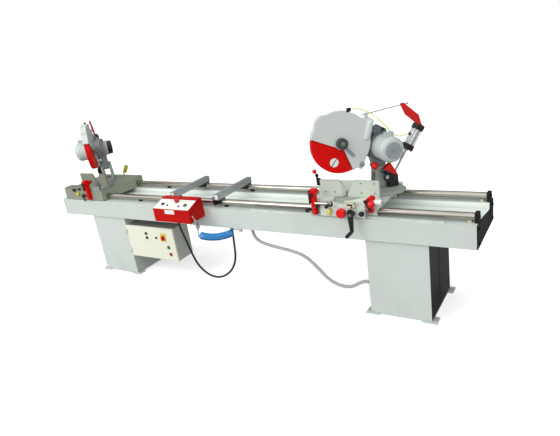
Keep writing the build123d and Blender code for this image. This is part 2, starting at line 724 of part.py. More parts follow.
def arm():
    spindle_place = (SPINDLE_U, SPINDLE_Z)
    motor_place = (MOTOR_U, MOTOR_Z)
    casting = across(arm_outline(), ARM_BACK, ARM_FACE)
    casting += across(tail(), ARM_FACE - TAIL_DEPTH, ARM_FACE)
    pocket = hull_of(round_at(*spindle_place, 2 * (SPINDLE_BOSS - ARM_WALL)),
                     round_at(*motor_place, MOTOR_PULLEY + 2 * (BELT_THICKNESS + FREE) + PULLEY_ROOM))
    casting -= across(pocket, ARM_BACK, ARM_FACE - ARM_WALL)
    casting += across(shoulder(), ARM_FACE, -MOTOR_PAD_FACE)
    casting += across(round_at(CYLINDER_U, CYLINDER_Z, CYLINDER_SPACER), ARM_FACE, -CYLINDER_CAP / 2)
    casting -= bar((ARM_BACK, PIVOT_U, PIVOT_Z), (ARM_FACE, PIVOT_U, PIVOT_Z), PIVOT_PIN + 2 * RUNNING)
    casting -= bar((ARM_BACK, *spindle_place), (ARM_FACE, *spindle_place), SPINDLE_SHAFT + 2 * RUNNING)
    casting -= bar((ARM_BACK, *motor_place), (0, *motor_place), MOTOR_SHAFT + 2 * FREE)
    lid_face = ARM_BACK - ARM_LID
    lid = across(hull_of(round_at(*spindle_place, 2 * SPINDLE_BOSS),
                         round_at(*motor_place, DRUM_DIAMETER + DRUM_RIM)), lid_face, ARM_BACK)
    drum_back = lid_face - DRUM_LENGTH
    drum = across(round_at(*motor_place, DRUM_DIAMETER), drum_back, lid_face)
    cap = across(round_at(*motor_place, DRUM_DIAMETER - DRUM_CAP_STEP), drum_back - DRUM_CAP, drum_back)
    return [casting, lid + drum + cap]


def shoulder():
    # The raised part of the casting behind the guard, which carries the motor
    block_side = polygon([(MOTOR_U + u, MOTOR_Z + z) for u, z in SHOULDER_CORNERS])
    block_side += round_at(MOTOR_U, MOTOR_Z, 2 * MOTOR_BOSS)
    block_side -= round_at(SPINDLE_U, SPINDLE_Z, 2 * (GUARD_RADIUS + FREE))
    return block_side - guard_casing(FREE)


def tail():
    # A plate behind the motor that carries the cylinder's lower cap
    return hull_of(round_at(MOTOR_U + 20, MOTOR_Z - 40, 120.0), round_at(CYLINDER_U, CYLINDER_Z, TAIL_ROUND))


def stay():
    return bar(STAY_BACK, STAY_FRONT, STAY_DIAMETER)


def stay_lug():
    # A small ear on top of the guard's casing that holds the front end of the stay
    return across(hull_of(*[round_at(*place) for place in STAY_LUG]), *STAY_LUG_SIDES) - stay()


def guard_centre(sketch):
    return Pos(SPINDLE_U, SPINDLE_Z) * sketch


def guard_casing(grow):
    # The guard's outline behind and above the blade, larger or smaller all round
    return hull_of(*[round_at(u, z, 2 * (radius + grow)) for u, z, radius in CASING_ROUNDS])


def guard_opening(radius, gap):
    # The sector that the lower guard covers, under a sloping edge that passes below the hub
    start = OPEN_FROM + gap
    rim = math.radians(start)
    above = polygon([(0, 0), (GUARD_RADIUS * math.cos(rim), GUARD_RADIUS * math.sin(rim)), OPEN_CORNER])
    return sector(radius, start, OPEN_TO - gap) - above


def nozzle():
    # The upright fitting for the air hose on top of the guard
    post = bar((0, NOZZLE_U, NOZZLE_FOOT_Z), (0, NOZZLE_U, NOZZLE_Z), NOZZLE_DIAMETER)
    post -= across(guard_centre(Circle(GUARD_RADIUS - GUARD_WALL)), -GUARD_HALF, GUARD_HALF)
    return post + block(-NOZZLE_HALF, NOZZLE_HALF, NOZZLE_U - NOZZLE_REACH, NOZZLE_U + NOZZLE_REACH,
                        NOZZLE_Z, NOZZLE_Z + NOZZLE_HEIGHT)


def blade_guard(cap_length):
    # A drum with a squarer casing over its top and back, open over the sector that the lower guard covers
    inside = GUARD_HALF - GUARD_WALL
    ring = guard_centre(Circle(HUB_CAP / 2 + HUB_RING))
    shaft_hole = guard_centre(Circle(SPINDLE_SHAFT / 2 + FREE))
    outline = guard_centre(Circle(GUARD_RADIUS)) + guard_casing(0)
    outline -= guard_centre(guard_opening(1.5 * GUARD_RADIUS, 0))
    shell = across(outline, -GUARD_HALF, GUARD_HALF)
    rear = shell.edges().filter_by_position(Axis.X, GUARD_HALF - SIDE, GUARD_HALF + SIDE)
    rear = rear.filter_by(GeomType.LINE).sort_by_distance((GUARD_HALF, REAR_EDGE_U, REAR_EDGE_Z))[0]
    shell = fillet(rear, CASING_ROUNDING)
    shell -= across(guard_centre(Circle(GUARD_RADIUS - GUARD_WALL)), -inside, inside)
    shell -= across(guard_casing(-CASING_WALL), -GUARD_HALF + CASING_WALL, GUARD_HALF - CASING_WALL)
    shell += stay_lug()
    shell += across(ring, inside, GUARD_HALF) + across(ring, -GUARD_HALF, -inside)
    shell -= across(shaft_hole, -GUARD_HALF, inside)
    shell += across(guard_centre(Circle(HUB_CAP / 2)), GUARD_HALF, GUARD_HALF + cap_length)
    sleeve = guard_centre(Circle(LOWER_GUARD_BORE / 2 - RUNNING)) - shaft_hole
    shell += across(sleeve, -inside, -inside + SLEEVE_LENGTH) + across(sleeve, inside - SLEEVE_LENGTH, inside)
    boss = guard_centre(Circle(SPINDLE_BOSS - GUARD_BOSS_STEP)) - shaft_hole
    lever = Rot(0, 0, GUARD_LEVER_ANGLE) * Pos(GUARD_LEVER_PLACE, 0) * RectangleRounded(*GUARD_LEVER)
    lever = guard_centre(lever) - guard_centre(Circle(HUB_CAP / 2))
    shell += across(boss, ARM_FACE, -GUARD_HALF)
    shell += across(lever, GUARD_HALF, GUARD_HALF + GUARD_LEVER_THICKNESS)
    return shell + nozzle()


def lower_guard():
    # The swinging guard: a slimmer drum sector that turns inside the upper one
    outer = GUARD_RADIUS - GUARD_WALL - FREE
    inside = LOWER_GUARD_HALF - LOWER_GUARD_WALL
    sides = guard_opening(outer, OPEN_GAP) + Circle(LOWER_GUARD_HUB / 2)
    body = across(guard_centre(sides), -LOWER_GUARD_HALF, LOWER_GUARD_HALF)
    body -= across(guard_centre(Circle(outer - LOWER_GUARD_WALL)), -inside, inside)
    return body - across(guard_centre(Circle(LOWER_GUARD_BORE / 2)), -LOWER_GUARD_HALF, LOWER_GUARD_HALF)


def saw_blade():
    radius = BLADE_DIAMETER / 2
    points = []
    for index in range(BLADE_TEETH):
        tip = 2 * math.pi * index / BLADE_TEETH
        root = tip + 2 * math.pi * TOOTH_ROOT_PLACE / BLADE_TEETH
        points.append((radius * math.cos(tip), radius * math.sin(tip)))
        points.append(((radius - TOOTH_DEPTH) * math.cos(root), (radius - TOOTH_DEPTH) * math.sin(root)))
    disc = polygon(points) - Circle(SPINDLE_SHAFT / 2)
    return across(guard_centre(disc), -BLADE_THICKNESS / 2, BLADE_THICKNESS / 2)


def on_pulley(sketch, margin):
    # A sketch as wide as the belt, in the middle of the pulleys
    half = BELT_WIDTH / 2 - margin
    return across(sketch, PULLEY_MIDDLE - half, PULLEY_MIDDLE + half)


def spindle():
    half = BLADE_THICKNESS / 2
    flange_end = half + BLADE_FLANGE_THICKNESS
    flange = guard_centre(Circle(BLADE_FLANGE / 2))
    shaft = across(guard_centre(Circle(SPINDLE_SHAFT / 2)), ARM_BACK + FREE, SPINDLE_END)
    flanges = across(flange, half, flange_end) + across(flange, -flange_end, -half)
    return shaft + flanges + on_pulley(guard_centre(Circle(SPINDLE_PULLEY / 2)), 0)


def motor_shaft():
    shaft = across(round_at(MOTOR_U, MOTOR_Z, MOTOR_SHAFT), ARM_BACK + FREE, MOTOR_LENGTH)
    return shaft + on_pulley(round_at(MOTOR_U, MOTOR_Z, MOTOR_PULLEY), 0)


def belt_loop(grow):
    return hull_of(round_at(SPINDLE_U, SPINDLE_Z, SPINDLE_PULLEY + 2 * grow),
                   round_at(MOTOR_U, MOTOR_Z, MOTOR_PULLEY + 2 * grow))


def drive_belt():
    return on_pulley(belt_loop(BELT_THICKNESS + SIDE) - belt_loop(SIDE), BELT_INSET)


def motor():
    # A flange, a body with a rounded end, a disc on that end and a terminal box on top
    centre = Pos(MOTOR_U, MOTOR_Z)
    start = -MOTOR_PAD_FACE
    body_start = start + MOTOR_FLANGE_THICKNESS
    body_end = body_start + MOTOR_LENGTH
    body = across(centre * Circle(MOTOR_BODY / 2), body_start, body_end)
    body = fillet(body.edges().filter_by(GeomType.CIRCLE).sort_by(Axis.X)[-1], MOTOR_ROUNDING)
    body += across(centre * Circle(MOTOR_FLANGE / 2), start, body_start)
    body += across(centre * Circle(MOTOR_END_DISC / 2), body_end, body_end + MOTOR_END_DISC_THICKNESS)
    box_start = body_start + TERMINAL_BOX_START
    box_top = MOTOR_Z + MOTOR_BODY / 2 + TERMINAL_BOX_RISE
    body += block(box_start, box_start + TERMINAL_BOX_LENGTH, MOTOR_U - TERMINAL_BOX_WIDTH / 2,
                  MOTOR_U + TERMINAL_BOX_WIDTH / 2, MOTOR_Z, box_top)
    return body - across(centre * Circle(MOTOR_SHAFT / 2 + FREE), start, MOTOR_LENGTH + FREE)


def along_cylinder(distance):
    # A point on the cylinder's axis, measured up from its lower cap
    du, dz = CYLINDER_DIRECTION
    return (0, CYLINDER_U + distance * du, CYLINDER_Z + distance * dz)


def square_on_axis(distance, size, thickness):
    plane = Plane(origin=along_cylinder(distance), x_dir=(1, 0, 0), z_dir=(0, *CYLINDER_DIRECTION))
    return extrude(plane * RectangleRounded(size, size, CYLINDER_CAP_ROUNDING), amount=thickness)


def air_cylinder():
    half = CYLINDER_CAP_THICKNESS / 2
    ends = (along_cylinder(half), along_cylinder(CYLINDER_LENGTH - half))
    barrel = bar(*ends, CYLINDER_TUBE)
    barrel += bar((0, PORT_U, PORT_Z), (0, PORT_U + PORT_LENGTH, PORT_Z), PORT_DIAMETER)
    barrel -= bar(*ends, CYLINDER_BORE)
    lower = square_on_axis(-half, CYLINDER_CAP, CYLINDER_CAP_THICKNESS)
    lower -= bar(along_cylinder(-half), along_cylinder(half), ROD_DIAMETER + 2 * RUNNING)
    upper = square_on_axis(CYLINDER_LENGTH - half, CYLINDER_CAP, CYLINDER_CAP_THICKNESS)
    return [barrel, lower, upper]


def piston_rod():
    piston_top = CYLINDER_LENGTH - CYLINDER_CAP_THICKNESS / 2 - PISTON_PLACE
    piston_ends = (along_cylinder(piston_top - PISTON_LENGTH), along_cylinder(piston_top))
    piston = bar(*piston_ends, CYLINDER_BORE - 2 * RUNNING)
    rod_ends = (along_cylinder(-ROD_REACH + ROD_EYE / 2 - ROD_LAP), along_cylinder(piston_top - ROD_LAP))
    rod = bar(*rod_ends, ROD_DIAMETER)
    eye = round_at(ROD_END_U, ROD_END_Z, ROD_EYE) - round_at(ROD_END_U, ROD_END_Z, ROD_EYE_BORE)
    return piston + rod + across(eye, -ROD_EYE_WIDTH / 2, ROD_EYE_WIDTH / 2)


def stay_bracket():
    # The bent bar on the upper cap, and the thin stay from its tip to the guard
    cap_top = CYLINDER_LENGTH + CYLINDER_CAP_THICKNESS / 2
    _, foot_u, foot_z = along_cylinder(cap_top)
    side = polygon([(foot_u + 22, foot_z - 18), (foot_u - 2, foot_z + 74), (480, 1520), (452, 1516),
                    (488, 1432), (foot_u - 34, foot_z + 24)])
    plate = across(side, -STAY_PLATE_HALF, STAY_PLATE_HALF)
    seat = square_on_axis(cap_top, CYLINDER_CAP - STAY_SEAT_STEP, STAY_SEAT)
    below = square_on_axis(0, 4 * CYLINDER_CAP, cap_top)
    return [plate - below - stay() + (seat - stay()), stay()]


# Electric cabinet and control box

def hinge_z(end):
    return CABINET_BOTTOM + (HINGE_INSET if end < 0 else CABINET_HEIGHT - HINGE_INSET)


def hinge_axis():
    return CABINET_LEFT, BED_FRONT - HINGE_KNUCKLE / 2


def cabinet_case():
    right = CABINET_LEFT + CABINET_WIDTH
    back = CABINET_FRONT + CABINET_DEPTH
    top = CABINET_BOTTOM + CABINET_HEIGHT
    case = block(CABINET_LEFT, right, CABINET_FRONT, back, CABINET_BOTTOM, top)
    case -= block(CABINET_LEFT + CABINET_SHEET, right - CABINET_SHEET, CABINET_FRONT, back - CABINET_SHEET,
                  CABINET_BOTTOM + CABINET_SHEET, top - CABINET_SHEET)
    pedestal_side = -PEDESTAL_SPACING / 2 + PEDESTAL_WIDTH / 2
    for z in (CABINET_BOTTOM + CABINET_ARM_INSET, top - CABINET_ARM_INSET):
        case += block(pedestal_side, CABINET_LEFT, CABINET_FRONT + CABINET_ARM_MARGIN, back - CABINET_ARM_MARGIN,
                      z - CABINET_ARM_HALF, z + CABINET_ARM_HALF)
    axis_x, axis_y = hinge_axis()
    leaf_left = axis_x - HINGE_KNUCKLE / 2
    leaf_back = CABINET_FRONT + HINGE_LEAF
    for end in (-1, 1):
        z = hinge_z(end)
        low = z - HINGE_LENGTH
        high = z - SIDE
        case += bar((axis_x, axis_y, low), (axis_x, axis_y, high), HINGE_KNUCKLE)
        case += block(leaf_left, axis_x - 1.0, axis_y, leaf_back, low, high)
        case += block(leaf_left, axis_x, CABINET_FRONT + FREE, leaf_back, low, high)
        case += bar((axis_x, axis_y, z - HINGE_PIN), (axis_x, axis_y, z + HINGE_LENGTH - FREE), HINGE_PIN)
    return case + cabinet_gear(back - CABINET_SHEET)


def cabinet_gear(back):
    # Mounting plate with a row of contactors, fixed to the back wall
    middle = CABINET_LEFT + CABINET_WIDTH / 2
    face = back - GEAR_PLATE
    low = CABINET_BOTTOM + CONTACTOR_RISE
    plate = block(middle - GEAR_PLATE_HALF, middle + GEAR_PLATE_HALF, face, back,
                  CABINET_BOTTOM + GEAR_PLATE_MARGIN, CABINET_BOTTOM + CABINET_HEIGHT - GEAR_PLATE_MARGIN)
    for index in range(CONTACTORS):
        x = middle - GEAR_PLATE_HALF + CONTACTOR_START + index * CONTACTOR_PITCH
        plate += block(x, x + CONTACTOR_WIDTH, face - CONTACTOR_DEPTH, face, low, low + CONTACTOR_HEIGHT)
    return plate


def on_door(place, y):
    # A point at a place on the door, at a depth y
    return (CABINET_LEFT + place[0], y, CABINET_BOTTOM + place[1])


def door_bar(place, start, end, diameter):
    # A round bar square to the door, from one distance in front of its face to another
    return bar(on_door(place, BED_FRONT - start), on_door(place, BED_FRONT - end), diameter)


def stem_hole(place):
    return door_bar(place, 2 * SWITCH_PLATE, -DOOR_THICKNESS, BUTTON_STEM + 2 * RUNNING)


def cabinet_door():
    right = CABINET_LEFT + CABINET_WIDTH
    top = CABINET_BOTTOM + CABINET_HEIGHT
    back = CABINET_FRONT - DOOR_GAP
    leaf = block(CABINET_LEFT + 1.0, right, BED_FRONT, back, CABINET_BOTTOM, top)
    leaf -= block(CABINET_LEFT + DOOR_EDGE, right - DOOR_EDGE, BED_FRONT + CABINET_SHEET, back,
                  CABINET_BOTTOM + DOOR_EDGE, top - DOOR_EDGE)
    axis_x, axis_y = hinge_axis()
    for end in (-1, 1):
        low = hinge_z(end) + SIDE
        high = hinge_z(end) + HINGE_LENGTH
        leaf += bar((axis_x, axis_y, low), (axis_x, axis_y, high), HINGE_KNUCKLE)
        leaf += block(axis_x, axis_x + HINGE_LEAF, BED_FRONT - CABINET_SHEET, BED_FRONT + FREE, low, high)
        leaf -= bar((axis_x, axis_y, low), (axis_x, axis_y, high), HINGE_PIN + 2 * RUNNING)
    for place in (SWITCH_PLACE, START_PLACE, STOP_PLACE):
        leaf -= stem_hole(place)
    x, _, z = on_door(SWITCH_PLACE, 0)
    plate = block(x - SWITCH_PLATE_HALF, x + SWITCH_PLATE_HALF, BED_FRONT - SWITCH_PLATE, BED_FRONT,
                  z - SWITCH_PLATE_HALF, z + SWITCH_PLATE_TOP)
    fittings = [door_collar(START_PLACE), door_collar(STOP_PLACE), plate - stem_hole(SWITCH_PLACE)]
    fittings += [door_bar(place, 0, LAMP_LENGTH, LAMP_DIAMETER) for place in LAMP_PLACES]
    fittings.append(door_bar(DOOR_LOCK_PLACE, 0, DOOR_LOCK_LENGTH, DOOR_LOCK))
    return [leaf] + fittings


def door_collar(place):
    outer = door_bar(place, 0, COLLAR_HEIGHT, BUTTON_DIAMETER + 2 * COLLAR_WALL)
    return outer - door_bar(place, 0, COLLAR_HEIGHT, BUTTON_DIAMETER + 2 * COLLAR_GAP)


def main_switch():
    x, _, z = on_door(SWITCH_PLACE, 0)
    knob_face = SWITCH_PLATE + SWITCH_KNOB_LENGTH
    half, reach, tall = SWITCH_HANDLE
    knob = door_bar(SWITCH_PLACE, SWITCH_PLATE + SIDE, knob_face, SWITCH_KNOB)
    knob += block(x - half, x + half, BED_FRONT - knob_face - reach, BED_FRONT - knob_face, z - tall, z + tall)
    return knob + door_bar(SWITCH_PLACE, knob_face, -PANEL_STEM_DEPTH, BUTTON_STEM)


def door_button(place):
    back = FREE + BUTTON_TRAVEL
    head = door_bar(place, back, back + BUTTON_TRAVEL - 1.0, BUTTON_DIAMETER)
    return head + door_bar(place, back, -2 * BUTTON_TRAVEL, BUTTON_STEM)


def panel_plane(x, up_slope):
    # A plane on the sloping panel, its normal out of the panel, at a distance up the slope
    tilt = math.radians(PANEL_TILT)
    y = BOX_FRONT + up_slope * math.cos(tilt)
    z = BOX_BOTTOM + BOX_FRONT_HEIGHT + up_slope * math.sin(tilt)
    return Plane(origin=(x, y, z), x_dir=(1, 0, 0), z_dir=(0, -math.sin(tilt), math.cos(tilt)))


def control_box():
    top_front = BOX_BOTTOM + BOX_FRONT_HEIGHT
    slope_y = BOX_FRONT + BOX_SLOPE_DEPTH
    slope_z = top_front + BOX_SLOPE_RISE
    outline = [(BOX_FRONT, BOX_BOTTOM), (BOX_FRONT, top_front), (slope_y, slope_z),
               (slope_y, slope_z + BOX_BACK_RISE), (BED_FRONT - BOX_BACK_STEP, slope_z + BOX_BACK_RISE),
               (BED_FRONT, BED_TOP), (BED_FRONT, BOX_BOTTOM)]
    section = polygon(outline)
    hollow = offset(section, -BOX_SHEET, kind=Kind.INTERSECTION)
    shell = across(section, BOX_LEFT, BOX_LEFT + BOX_WIDTH)
    shell -= across(hollow, BOX_LEFT + BOX_SHEET, BOX_LEFT + BOX_WIDTH - BOX_SHEET)
    slope = math.hypot(BOX_SLOPE_DEPTH, BOX_SLOPE_RISE)
    middle = panel_plane(BOX_LEFT + BOX_WIDTH / 2, slope / 2)
    sheet = RectangleRounded(BOX_WIDTH - PANEL_MARGIN, slope - PANEL_MARGIN, PANEL_ROUNDING)
    panel = extrude(middle * sheet, amount=PANEL_SHEET)
    collars = []
    for x, up in BOX_BUTTONS.values():
        plane = panel_plane(BOX_LEFT + x, up)
        stem = plane.offset(-2 * PANEL_STEM_DEPTH) * Circle(BUTTON_STEM / 2 + RUNNING)
        stem = extrude(stem, amount=3 * PANEL_STEM_DEPTH)
        shell -= stem
        panel -= stem
        ring = Circle(BUTTON_DIAMETER / 2 + COLLAR_WALL) - Circle(BUTTON_DIAMETER / 2 + COLLAR_GAP)
        collars.append(extrude(plane.offset(PANEL_SHEET) * ring, amount=COLLAR_HEIGHT))
    return [shell, panel] + collars


def panel_button(name, head_diameter):
    x, up = BOX_BUTTONS[name]
    plane = panel_plane(BOX_LEFT + x, up).offset(PANEL_SHEET)
    back = FREE + BUTTON_TRAVEL
    head = extrude(plane.offset(back) * Circle(BUTTON_DIAMETER / 2), amount=BUTTON_TRAVEL)
    if head_diameter > BUTTON_DIAMETER:
        head_plane = plane.offset(back + BUTTON_TRAVEL)
        head += extrude(head_plane * Circle(head_diameter / 2), amount=STOP_HEAD_HEIGHT)
    stem_plane = plane.offset(-PANEL_STEM_DEPTH)
    return head + extrude(stem_plane * Circle(BUTTON_STEM / 2), amount=PANEL_STEM_DEPTH + back)


# Support arms

def support_arm(x):
    # An open aluminium channel with a ledge, on two shoes that ride on the rails
    bottom = RAIL_Z + RAIL_DIAMETER / 2 + SUPPORT_CLEAR
    top = bottom + SUPPORT_HEIGHT
    left = x - SUPPORT_WIDTH / 2
    right = x + SUPPORT_WIDTH / 2
    ledge = left + SUPPORT_LEDGE
    front = -SUPPORT_LENGTH / 2
    back = SUPPORT_LENGTH / 2
    channel = block(left, right, front, back, bottom, bottom + SUPPORT_WALL)
    channel += block(left, left + SUPPORT_WALL, front, back, bottom, bottom + SUPPORT_LIP)
    channel += block(ledge, ledge + SUPPORT_WALL, front, back, bottom, top)
    channel += block(right - SUPPORT_WALL, right, front, back, bottom, top)
    channel += block(ledge, right, front, back, top - SUPPORT_WALL, top)
    pieces = [channel]
    half = RAIL_DIAMETER / 2 + SHOE_WALL
    shoe_left = x - SUPPORT_SHOE / 2
    shoe_right = x + SUPPORT_SHOE / 2
    for y in (-RAIL_Y, RAIL_Y):
        shoe = block(shoe_left, shoe_right, y - half, y + half, RAIL_Z - SHOE_GRIP, bottom)
        pieces.append(shoe - bar((shoe_left, y, RAIL_Z), (shoe_right, y, RAIL_Z), RAIL_DIAMETER + 2 * RUNNING))
    pieces.append(lock_screw(x, -RAIL_Y - half))
    return pieces


def lock_screw(x, face):
    z = RAIL_Z + KNOB_RISE
    knob = face - KNOB_STEM_LENGTH
    screw = bar((x, face, z), (x, knob, z), KNOB_STEM)
    return screw + bar((x, knob, z), (x, knob - KNOB_LENGTH, z), KNOB_DIAMETER)


# Carriage pieces

def right_base():
    front = BED_FRONT - HEAD_Y
    bush_outer = RAIL_DIAMETER + 2 * BUSH_WALL
    bottom = RAIL_Z - bush_outer / 2 - HOUSING_DROP
    plate = base_plate(RIGHT_INNER, RIGHT_OUTER)
    bushes = []
    for x in housing_places(RIGHT_INNER, RIGHT_OUTER):
        for y in rail_places():
            slot = block(x - HOUSING_LENGTH / 2, x + HOUSING_LENGTH / 2, y - BUSH_SLOT / 2, y + BUSH_SLOT / 2,
                         bottom, RAIL_Z)
            plate += rail_housing(x, y, bottom, bush_outer) - slot
            ends = ((x - BUSH_LENGTH / 2, y, RAIL_Z), (x + BUSH_LENGTH / 2, y, RAIL_Z))
            bushes.append(tube(*ends, bush_outer, RAIL_DIAMETER + 2 * RUNNING) - slot)
    face = APRON_FRONT - HEAD_Y
    back = face + APRON_THICKNESS
    plate += block(-APRON_WIDTH / 2, APRON_WIDTH / 2, face, back, BASE_TOP - APRON_DROP, BASE_TOP)
    plate += block(-APRON_WIDTH / 2, APRON_WIDTH / 2, back, front, BASE_BOTTOM + APRON_GAP, BASE_TOP)
    plate -= bar((CRANK_X, face, CRANK_Z), (CRANK_X, front + DRIVE_REACH, CRANK_Z), DRIVE_SHAFT + 2 * RUNNING)
    pocket = PINION_RADIUS + GEAR_MODULE + FREE
    rack_y = RACK_Y - HEAD_Y
    room = RACK_WIDTH / 2 + FREE
    plate -= bar((CRANK_X, rack_y - room, CRANK_Z), (CRANK_X, rack_y + room, CRANK_Z), 2 * pocket)
    plate -= bar((LOCK_X, face, LOCK_Z), (LOCK_X, back, LOCK_Z), LOCK_STEM + 2 * RUNNING)
    return [plate] + bushes + table_plates(RIGHT_INNER, RIGHT_OUTER)


def left_base():
    plate = base_plate(LEFT_INNER, LEFT_OUTER)
    for x in housing_places(LEFT_INNER, LEFT_OUTER):
        for y in rail_places():
            plate += rail_housing(x, y, BED_TOP, RAIL_DIAMETER + 2 * RUNNING)
    front = BED_FRONT - HEAD_Y
    bottom = BED_TOP + SKIRT_CLEAR
    box = block(-LEFT_INNER, LEFT_OUTER, front, front + BASE_DEPTH, bottom, BASE_BOTTOM)
    box -= block(-LEFT_INNER + SKIRT, LEFT_OUTER - SKIRT, front + SKIRT, front + BASE_DEPTH - SKIRT,
                 bottom, BASE_BOTTOM)
    for y in rail_places():
        box -= bar((-LEFT_INNER, y, RAIL_Z), (LEFT_OUTER, y, RAIL_Z), RAIL_DIAMETER + 2 * FREE)
    return [plate + box] + table_plates(LEFT_INNER, LEFT_OUTER)


def crank():
    # Pinion, shaft, arm and grip on one axis through the apron
    rack_y = RACK_Y - HEAD_Y
    hub_start = APRON_FRONT - HEAD_Y - CRANK_STAND_OFF
    hub_end = hub_start - CRANK_HUB_LENGTH
    grip_z = CRANK_Z - CRANK_ARM
    gear = Plane.XZ.offset(-(rack_y - RACK_WIDTH / 2)) * Pos(CRANK_X, CRANK_Z) * pinion()
    shaft = bar((CRANK_X, hub_end + CRANK_STAND_OFF, CRANK_Z), (CRANK_X, rack_y + RACK_WIDTH / 2, CRANK_Z),
                DRIVE_SHAFT)
    hub = bar((CRANK_X, hub_end, CRANK_Z), (CRANK_X, hub_start, CRANK_Z), CRANK_HUB)
    side = hull_of(round_at(CRANK_X, CRANK_Z + CRANK_HEAD_RISE, CRANK_LEVER_TOP),
                   round_at(CRANK_X, grip_z, CRANK_LEVER_TIP))
    lever = extrude(Plane.XZ.offset(-hub_end) * side, amount=CRANK_LEVER)
    grip_end = hub_end - CRANK_LEVER - CRANK_GRIP
    grip = bar((CRANK_X, hub_end, grip_z), (CRANK_X, grip_end, grip_z), CRANK_GRIP_DIAMETER)
    return [extrude(gear, amount=-RACK_WIDTH) + shaft, hub - shaft + (lever - shaft) + grip]


def carriage_lock():
    face = APRON_FRONT - HEAD_Y
    back = face - LOCK_GAP
    knob = bar((LOCK_X, back, LOCK_Z), (LOCK_X, back - LOCK_KNOB_LENGTH, LOCK_Z), LOCK_KNOB)
    knob = fillet(knob.edges().filter_by(GeomType.CIRCLE), LOCK_KNOB_ROUNDING)
    return knob + bar((LOCK_X, back, LOCK_Z), (LOCK_X, face + APRON_THICKNESS, LOCK_Z), LOCK_STEM)


# Placing: the base stands square on the bed, the head is turned to the mitre

def square(shapes, left):
    out = []
    for shape in shapes if isinstance(shapes, list) else [shapes]:
        if left:
            shape = mirror(shape, about=Plane.YZ)
        out.append(Pos(LEFT_HEAD_X if left else RIGHT_HEAD_X, HEAD_Y, 0) * shape)
    return out


def turned(shapes, left):
    out = []
    for shape in shapes if isinstance(shapes, list) else [shapes]:
        if left:
            shape = mirror(shape, about=Plane.YZ)
        place = Pos(LEFT_HEAD_X if left else RIGHT_HEAD_X, HEAD_Y, 0)
        out.append(place * Rot(0, 0, MITRE if left else -MITRE) * shape)
    return out


# Cords, hoses and the air gun

def cord(points, diameter, name):
    # A round cord along straight runs joined by tangent arcs
    corners = [Vector(*p) for p in points]
    radii = []
    for before, corner, after in zip(corners, corners[1:], corners[2:]):
        turn = (corner - before).get_angle(after - corner)
        shorter = min((corner - before).length, (after - corner).length)
        radii.append(0.45 * shorter / math.tan(math.radians(turn / 2)))
    path = FilletPolyline(*corners, radius=radii)
    return swept(path, diameter, name, min(radii))


def swept(path, diameter, name, least_radius):
    start = Plane(origin=path @ 0, z_dir=path % 0)
    solid = sweep(start * Circle(diameter / 2), path=path)
    expected = math.pi * diameter ** 2 / 4 * path.length
    print(f"{name}: length {path.length:.0f} mm, least radius {least_radius:.0f} mm, "
          f"volume ratio {solid.volume / expected:.4f}")
    return solid


def black_cable():
    points = [(*CABLE_TOP, BOX_BOTTOM), (*CABLE_TOP, 656), (-370, -399, 530), (-338, -391, 380), (-298, -380, 262),
              (-222, -364, 180), (-130, -345, 150), (-38, -326, 180), (36, -308, 254), (68, -291, 350),
              (64, -275, 470), (*CABLE_END, 560), (*CABLE_END, BED_BOTTOM)]
    return cord(points, CABLE_DIAMETER, "black cable")


def grey_hose():
    side = PEDESTAL_SPACING / 2 - PEDESTAL_WIDTH / 2
    path = [(HOSE_X, BED_BOTTOM), (HOSE_X, 556), (252, 500), (318, 466), (430, 446), (600, 424), (720, 388),
            (815, 300), (905, 200), (1010, 158), (1110, 165), (1200, HOSE_Z), (side, HOSE_Z)]
    return cord([(x, HOSE_Y, z) for x, z in path], HOSE_DIAMETER, "grey hose")


def head_air_hose():
    # From the fitting on the guard, past the stay and over the motor to the port on the cylinder
    start_z = NOZZLE_Z + NOZZLE_HEIGHT / 2
    points = [(0, NOZZLE_U + NOZZLE_REACH, start_z), (0, 122, start_z), (16, 185, 1512), (20, 250, 1462),
              (26, 305, 1402), (27, 345, 1345), (26, 392, 1296), (12, 440, 1282), (0, 470, PORT_Z),
              (0, PORT_U, PORT_Z)]
    return cord(points, AIR_HOSE_DIAMETER, "head air hose")


def biarc(start, start_way, end, end_way):
    # Two arcs that leave one point and reach another along given directions
    chord = end - start
    ways = start_way + end_way
    spread = 2 * (1 - start_way.dot(end_way))
    along = chord.dot(ways)
    reach = (-along + math.sqrt(along ** 2 + spread * chord.dot(chord))) / spread
    middle = (start + start_way * reach + end - end_way * reach) * 0.5
    first = TangentArc(start, middle, tangent=start_way)
    middle_way = end - end_way * reach - start - start_way * reach
    second = TangentArc(middle, end, tangent=middle_way.normalized())
    return [first, second]


def coil_frame():
    # The coil's middle line is an arc through three points that hangs between the gun and the bed
    ends = [Vector(*p) for p in COIL_LINE]
    arc = ThreePointArc(*ends)
    centre = arc.arc_center
    first = (ends[0] - centre).normalized()
    normal = (ends[0] - centre).cross(ends[2] - centre).normalized()
    angle = math.radians((ends[0] - centre).get_angle(ends[2] - centre))
    return centre, arc.radius, first, normal.cross(first), normal, angle


def coil_point(fraction):
    # Place and direction on the coil, at a fraction of its length
    centre, radius, first, second, normal, sweep_angle = coil_frame()
    bend = sweep_angle * fraction
    outward = first * math.cos(bend) + second * math.sin(bend)
    onward = second * math.cos(bend) - first * math.sin(bend)
    turn = 2 * math.pi * COIL_TURNS * fraction + math.pi / 2
    rate = 2 * math.pi * COIL_TURNS / sweep_angle
    small = (COIL_DIAMETER - COIL_TUBE) / 2
    place = centre + outward * (radius + small * math.cos(turn)) + normal * (small * math.sin(turn))
    way = onward * (radius + small * math.cos(turn))
    way += outward * (-small * rate * math.sin(turn)) + normal * (small * rate * math.cos(turn))
    return place, way.normalized()


